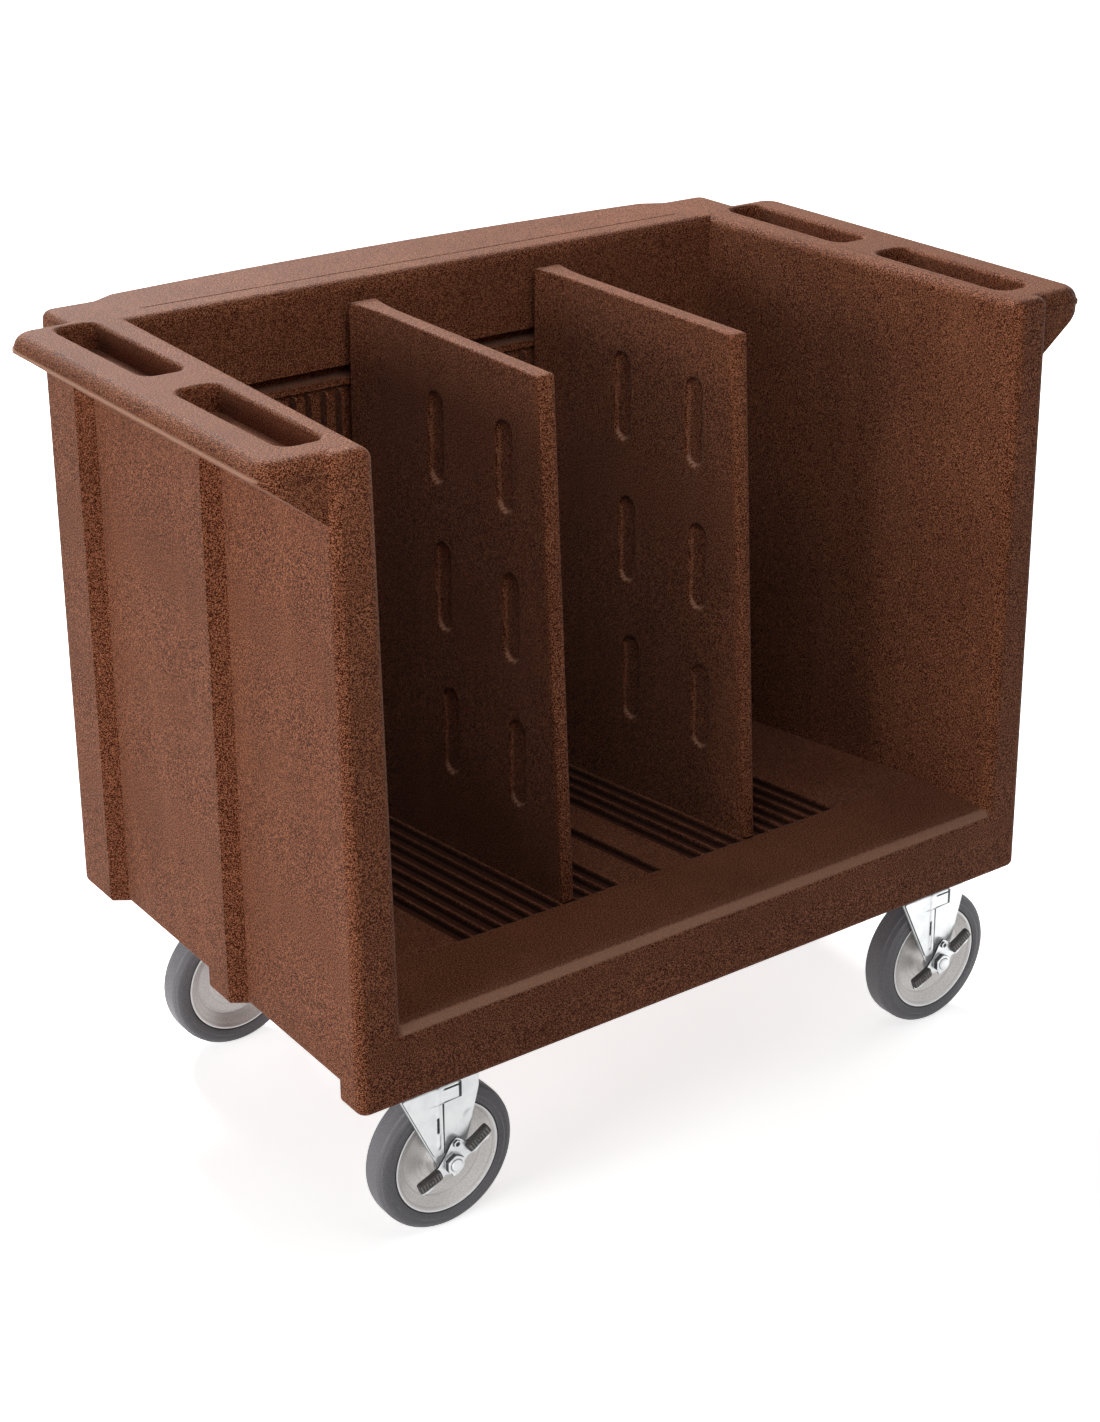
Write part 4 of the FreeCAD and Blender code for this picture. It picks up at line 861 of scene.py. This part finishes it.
def makePedal(place, axle):
    # A plate cut to its outline, with two arms and a peak, and a stud in the peak
    v, body = pedalValues, f"pedal_{place}"
    rear, front = np.array(v["rearArm"]), np.array(v["frontArm"])
    up, down = np.array([-rear[1], rear[0]]), np.array([-front[1], front[0]])

    def along(outline, arm, side):
        return [arm * reach + side * off for reach, off in outline]

    corners = [*along(v["rearOutline"], rear, up), *v["lowOutline"], *along(v["frontOutline"], front, down),
               *v["peakOutline"], *along(v["rearEnd"], rear, up)]
    low, high = -v["face"] - v["thickness"], -v["face"]
    outline = softCorners(np.array(corners) / 1000, v["corner"], 6)
    points, edge = cutSheet(outline, low, high, v["softness"], axle)
    # Painted shade round the plate's rounded rim
    plate = skin(f"pedal_plate_{place}", points, body, "zinc_steel", edge, axle)
    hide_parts(f"brake_pedal_{place}")
    # The stud's facets get painted shade
    points, shade = hexagonal((axle[0] + v["stud"][0], axle[1], axle[2] + v["stud"][1]),
                              low + v["studSeat"], low - v["studHeight"], v["studFlats"])
    skin(f"pedal_stud_{place}", points, body, "zinc_steel", shade, axle)
    makePads(place, axle, (rear, front))


padValues = {
    "reaches": (0.0325, 0.0293),     # middles along the rear and front arm
    "lengths": (0.0285, 0.0262),
    "width": 0.0108,
    "thickness": 0.0060,
    "lift": 0.0006,          # off the pedal's face
    "count": 96,
    "faceRings": (0.03, 0.90, 26),
    "sideRings": [0.95, 0.985, 1.0, 1.0, 0.985, 0.95, 0.03],
    "sideLevels": [0.48, 0.43, 0.33, -0.33, -0.43, -0.48, -0.5],
    "lengthPower": 0.22,
    "widthPower": 0.30,
    "border": 0.0010,        # without ribs
    "borderEase": (0.0010, 0.0008),
    "ribPitch": 0.0031,
    "ribHeight": 0.0010,
    "ribFrom": 0.4,          # ribs only above this share of the thickness
    "sharp": 50,
}


def ribbedPad(length, way):
    # Each ring is a rounded oblong: half length and half width times small powers of the cosine and sine,
    # shrunk by its share. Over the outer face a cosine wave along the length raises ribs, whose tips get a
    # painted highlight.
    v = padValues
    width, thick, border = v["width"], v["thickness"], v["border"]
    turn = np.linspace(-math.pi, math.pi, v["count"] + 1)[:-1]
    face = np.linspace(*v["faceRings"])
    share = np.concatenate([face, v["sideRings"]])[:, None]
    level = np.concatenate([0 * face + 0.5, v["sideLevels"]])[:, None] * thick
    along = length / 2 * softPower(np.cos(turn), v["lengthPower"]) * share
    over = width / 2 * softPower(np.sin(turn), v["widthPower"]) * share
    inside = smooth(length / 2 - border - np.abs(along), 0, v["borderEase"][0])
    inside = inside * smooth(width / 2 - border - np.abs(over), 0, v["borderEase"][1])
    rib = (0.5 - 0.5 * np.cos(along / v["ribPitch"] * 2 * math.pi)) * inside * (level > thick * v["ribFrom"])
    out = -level - v["ribHeight"] * rib
    return np.stack([along * way[0] - over * way[1], out, along * way[1] + over * way[0]], -1), -rib


def makePads(place, axle, ways):
    # One pad along each arm, over the pedal's face
    v, body = padValues, f"pedal_{place}"
    for number, (way, reach, length) in enumerate(zip(ways, v["reaches"], v["lengths"])):
        centre = (way[0] * reach, -pedalValues["face"] - v["thickness"] / 2 - v["lift"], way[1] * reach)
        points, shade = ribbedPad(length, way)
        pad = skin(f"pedal_pad_{number}_{place}", points + axle + centre, body, "pad_black", shade, axle,
                   sharp=v["sharp"])
        if number == 0:
            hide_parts(f"pedal_pads_{place}")


for place, (x, y) in casterValues["places"].items():
    braked = place.startswith("front")
    axle = (x + casterValues["trail"], y, casterValues["axleHeight"])
    makeWheel(place, axle)
    makeFork(place, x, y, braked)
    makeAxle(place, axle, braked)
    if braked:
        makeLink(place, x, y)
        makePedal(place, axle)
print("casters made")


dividerValues = {
    "middles": {"divider_left": -0.1068, "divider_right": 0.1246},
    "bodies": {"divider_left": "left_divider", "divider_right": "right_divider"},
    "foot": 0.225,           # height where the board is thinnest
    "top": 0.797,
    "footHalf": 0.0070,
    "topHalf": 0.0095,
    "flareHalf": 0.0165,     # at the rear edge
    "flareLength": 0.060,
    "back": 0.1657,
    "frontAtLip": -0.188,
    "lip": 0.266,            # height of the lip and of the deck's front end
    "lean": 0.034,
    "round": 0.0026,
    "sharp": 44,
    "webHalf": 0.0040,       # floor of the hollows
    "hollowHalf": 0.014,
    "hollowLength": 0.100,
    "hollowTop": 0.737,
    "hollowRise": 0.162,
    "hollowShift": 0.009,
    "hollowRear": 0.0207,    # the rear column of the top row
    "hollowSpacing": 0.118,
    "hollowSlope": 0.0046,   # run of the hollows' soft walls
    "hollowEase": 0.0006,    # where the walls start, past the rim
    "columns": [(0, 0.16, 14), (0.20, 0.30, 3), (0.33, 0.535, 48), (0.56, 0.64, 3), (0.665, 0.87, 48),
                (0.90, 0.98, 4)],    # shares of the depth, closer where the hollows are
    "lowRows": 8,
    "rowsFrom": 0.300,
    "rows": 210,
    "paintedLightUp": 1.7,           # walls that face upwards get a painted highlight
    "paintedLightFront": 0.45,
    # below 0: a painted shade line round the hollow's rim
    "paintedLightRim": -0.9,
    "rimTo": (0, 0.05),      # where the rim's painted shade line rises and falls, of the hollow's mask
    "rimFrom": (0.10, 0.35),
    "paintedLightStep": 0.0010,
    "deckFront": -0.194,
    "deckFall": 0.041 / 0.373,
    "deckGap": 0.0003,
    "tongue": [(-0.1795, 0.2577), (0.1650, 0.2198), (0.1650, 0.232), (-0.1795, 0.268)],
    "tongueCorner": 0.001,
    "tongueHalf": 0.0070,
    "tongueSoftness": 0.0006,
}


def hollowMask(y, z):
    # Distance to the nearest hollow's middle line, eased from its rim down to its floor
    v = dividerValues
    mask = np.zeros(np.broadcast(y, z).shape)
    straight = v["hollowLength"] / 2 - v["hollowHalf"]
    for row in range(3):
        middle = v["hollowTop"] - v["hollowLength"] / 2 - v["hollowRise"] * row
        for column in range(2):
            at = v["hollowRear"] - v["hollowShift"] * row - v["hollowSpacing"] * column
            rise = np.clip(np.abs(z - middle) - straight, 0, None)
            apart = np.hypot(y - at, rise)
            mask = np.maximum(mask, smooth(v["hollowHalf"] + v["hollowEase"] - apart, 0.0, v["hollowSlope"]))
    return mask


def makeDivider(name):
    # Each row is a ring: y runs from the back to the front along one face, round the nose and back.
    # Half the thickness grows with height, flares as a square near the rear edge and sinks in the hollows.
    v = dividerValues
    middle, body = v["middles"][name], v["bodies"][name]
    share = np.concatenate([np.linspace(*part) for part in v["columns"]])
    height = np.concatenate([np.linspace(v["foot"], v["rowsFrom"], v["lowRows"])[:-1],
                             np.linspace(v["rowsFrom"], v["top"] - v["round"], v["rows"])])
    turn = np.linspace(0, math.pi / 2, 4)
    z = np.concatenate([height, v["top"] - v["round"] * (1 - np.sin(turn[1:]))])[:, None]
    inset = np.concatenate([0 * height, v["round"] * (1 - np.cos(turn[1:]))])[:, None]
    front = v["frontAtLip"] + v["lean"] * (z - v["lip"]) / (v["top"] - v["lip"]) + inset
    back = v["back"] - inset * 0.5
    lift = np.clip((z - v["foot"]) / (v["top"] - v["foot"]), 0, 1)
    y = back + (front + v["round"] - back) * share
    board = v["footHalf"] + (v["topHalf"] - v["footHalf"]) * lift
    flare = np.clip((y - v["back"] + v["flareLength"]) / v["flareLength"], 0, 1)
    half = board + (v["flareHalf"] - board) * flare ** 2
    mask = hollowMask(y, z)
    # Painted light: walls of the hollows that face upwards or the front get a painted highlight, the others
    # stay dark, and the hollow's rim gets a painted shade line
    step = v["paintedLightStep"]
    upward = hollowMask(y, z + step) - hollowMask(y, z - step)
    forward = hollowMask(y - step, z) - hollowMask(y + step, z)
    rim = smooth(mask, *v["rimTo"]) - smooth(mask, *v["rimFrom"])
    paintedLight = v["paintedLightUp"] * upward + v["paintedLightFront"] * forward + v["paintedLightRim"] * rim
    half = half - (half - v["webHalf"]) * mask - inset * (1 - mask)
    # The nose: corners as quarter circles, with a flat between them
    nose = np.linspace(0, math.pi, 9)[1:-1]
    edgeHalf = board - inset
    corner = np.minimum(v["round"], edgeHalf)
    noseX = np.sign(np.cos(nose)) * (edgeHalf - corner) + corner * np.cos(nose)
    noseY = front + v["round"] - corner * np.sin(nose)
    x = np.concatenate([half, noseX, -half[:, ::-1]], axis=1)
    paintedLight = np.concatenate([paintedLight, 0 * noseX, paintedLight[:, ::-1]], axis=1)
    y = np.concatenate([y, noseY, y[:, ::-1]], axis=1)
    # The lowest rows follow the deck, which falls towards the back
    deck = v["lip"] - v["deckFall"] * np.clip(y - v["deckFront"], 0, None) + v["deckGap"]
    low = np.maximum(deck, v["foot"])
    z = low + (z - v["foot"]) * (v["top"] - low) / (v["top"] - v["foot"])
    piece = skin(f"{name}_board", np.stack([x + middle, y, z], -1), body, "moulded_brown", -paintedLight,
                 (middle, 0, 0), sharp=v["sharp"])
    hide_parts(name)
    tongue = softCorners(v["tongue"], v["tongueCorner"])
    points, edge = cutSheet(tongue, -v["tongueHalf"], v["tongueHalf"], v["tongueSoftness"], (middle, 0, 0),
                            axis=0)
    skin(f"{name}_tongue", points, body, "moulded_brown", None, (middle, 0, 0))


for name in dividerValues["middles"]:
    makeDivider(name)
print("dividers made")


lightValues = {
    "lamps": {       # watts, width, place
        "left": (57.0, 1.8, (-3.6, -0.5, 1.0)),
        "right": (20.0, 1.8, (3.6, 0.4, 1.0)),
        "back": (235.0, 1.3, (0.5, 3.2, 2.9)),
        "front": (4.2, 0.7, (-0.3, -0.66, 1.50)),
    },
    "aim": (0, 0, 0.45),
    "world": 0.05,           # strength on the cart, where the backdrop shows at 1
}


def makeLights():
    v = lightValues
    world = bpy.data.worlds.new("studio")
    bpy.context.scene.world = world
    sky = Finish(world, "Background")
    sky.set({"Color": (1.0, 1.0, 1.0), "Strength": v["world"] + sky.seen() * (1 - v["world"])})
    for name, (energy, size, place) in v["lamps"].items():
        data = bpy.data.lights.new(name, "AREA")
        data.energy = energy
        data.size = size
        lamp = bpy.data.objects.new(name, data)
        bpy.context.scene.collection.objects.link(lamp)
        lamp.location = place
        lamp.visible_camera = False
        aim = np.array(v["aim"]) - np.array(place)
        lamp.rotation_euler = (math.acos(-aim[2] / np.linalg.norm(aim)), 0,
                               math.atan2(aim[1], aim[0]) - math.pi / 2)


floorValues = {
    "colour": (0.96, 0.96, 0.96),
    "radius": 30,
    "count": 64,
    "roughness": 0.9,
    "glow": 0.72,            # lift near the cart, 1 further out
    "glowRadii": (0.9, 3.2),
}


def makeFloor():
    # A wide flat disc: one face round a circle. Seen by the camera it is lifted towards white,
    # and the shading under the cart stays.
    v = floorValues
    angle = np.linspace(0, 2 * math.pi, v["count"], endpoint=False)
    rim = np.stack([v["radius"] * np.cos(angle), v["radius"] * np.sin(angle), 0 * angle], -1)
    mesh = bpy.data.meshes.new("floor")
    mesh.from_pydata(rim.tolist(), [], [list(range(v["count"]))])
    floor = bpy.data.objects.new("floor", mesh)
    bpy.context.scene.collection.objects.link(floor)
    finish = Finish(bpy.data.materials.new("floor"))
    radius = finish.length(finish.place())
    glow = finish.seen() * (v["glow"] + radius.ramp(*v["glowRadii"]) * (1 - v["glow"]))
    mesh.materials.append(finish.set({
        "Base Color": v["colour"],
        "Roughness": v["roughness"],
        "Specular IOR Level": 0.0,
        "Emission Color": finish.mix(glow, (0.0, 0.0, 0.0), (1.0, 1.0, 1.0)),
        "Emission Strength": 1.0,
    }))


cameraValues = {
    "lens": 64.2,
    "sensor": 36,
    "shift": -0.13,
    "place": (-1.4150, -1.9679, 1.4855),
    "turn": (69.4793, 0.0, -35.8798),        # degrees
}


def makeCamera():
    v = cameraValues
    camera = bpy.data.objects.new("camera", bpy.data.cameras.new("camera"))
    bpy.context.scene.collection.objects.link(camera)
    camera.data.lens = v["lens"]
    camera.data.sensor_width = v["sensor"]
    camera.data.shift_y = v["shift"]
    camera.location = v["place"]
    camera.rotation_euler = tuple(math.radians(turn) for turn in v["turn"])
    bpy.context.scene.camera = camera


makeLights()
makeFloor()
makeCamera()
bpy.context.scene.view_settings.view_transform = "Standard"
print("studio and camera set")
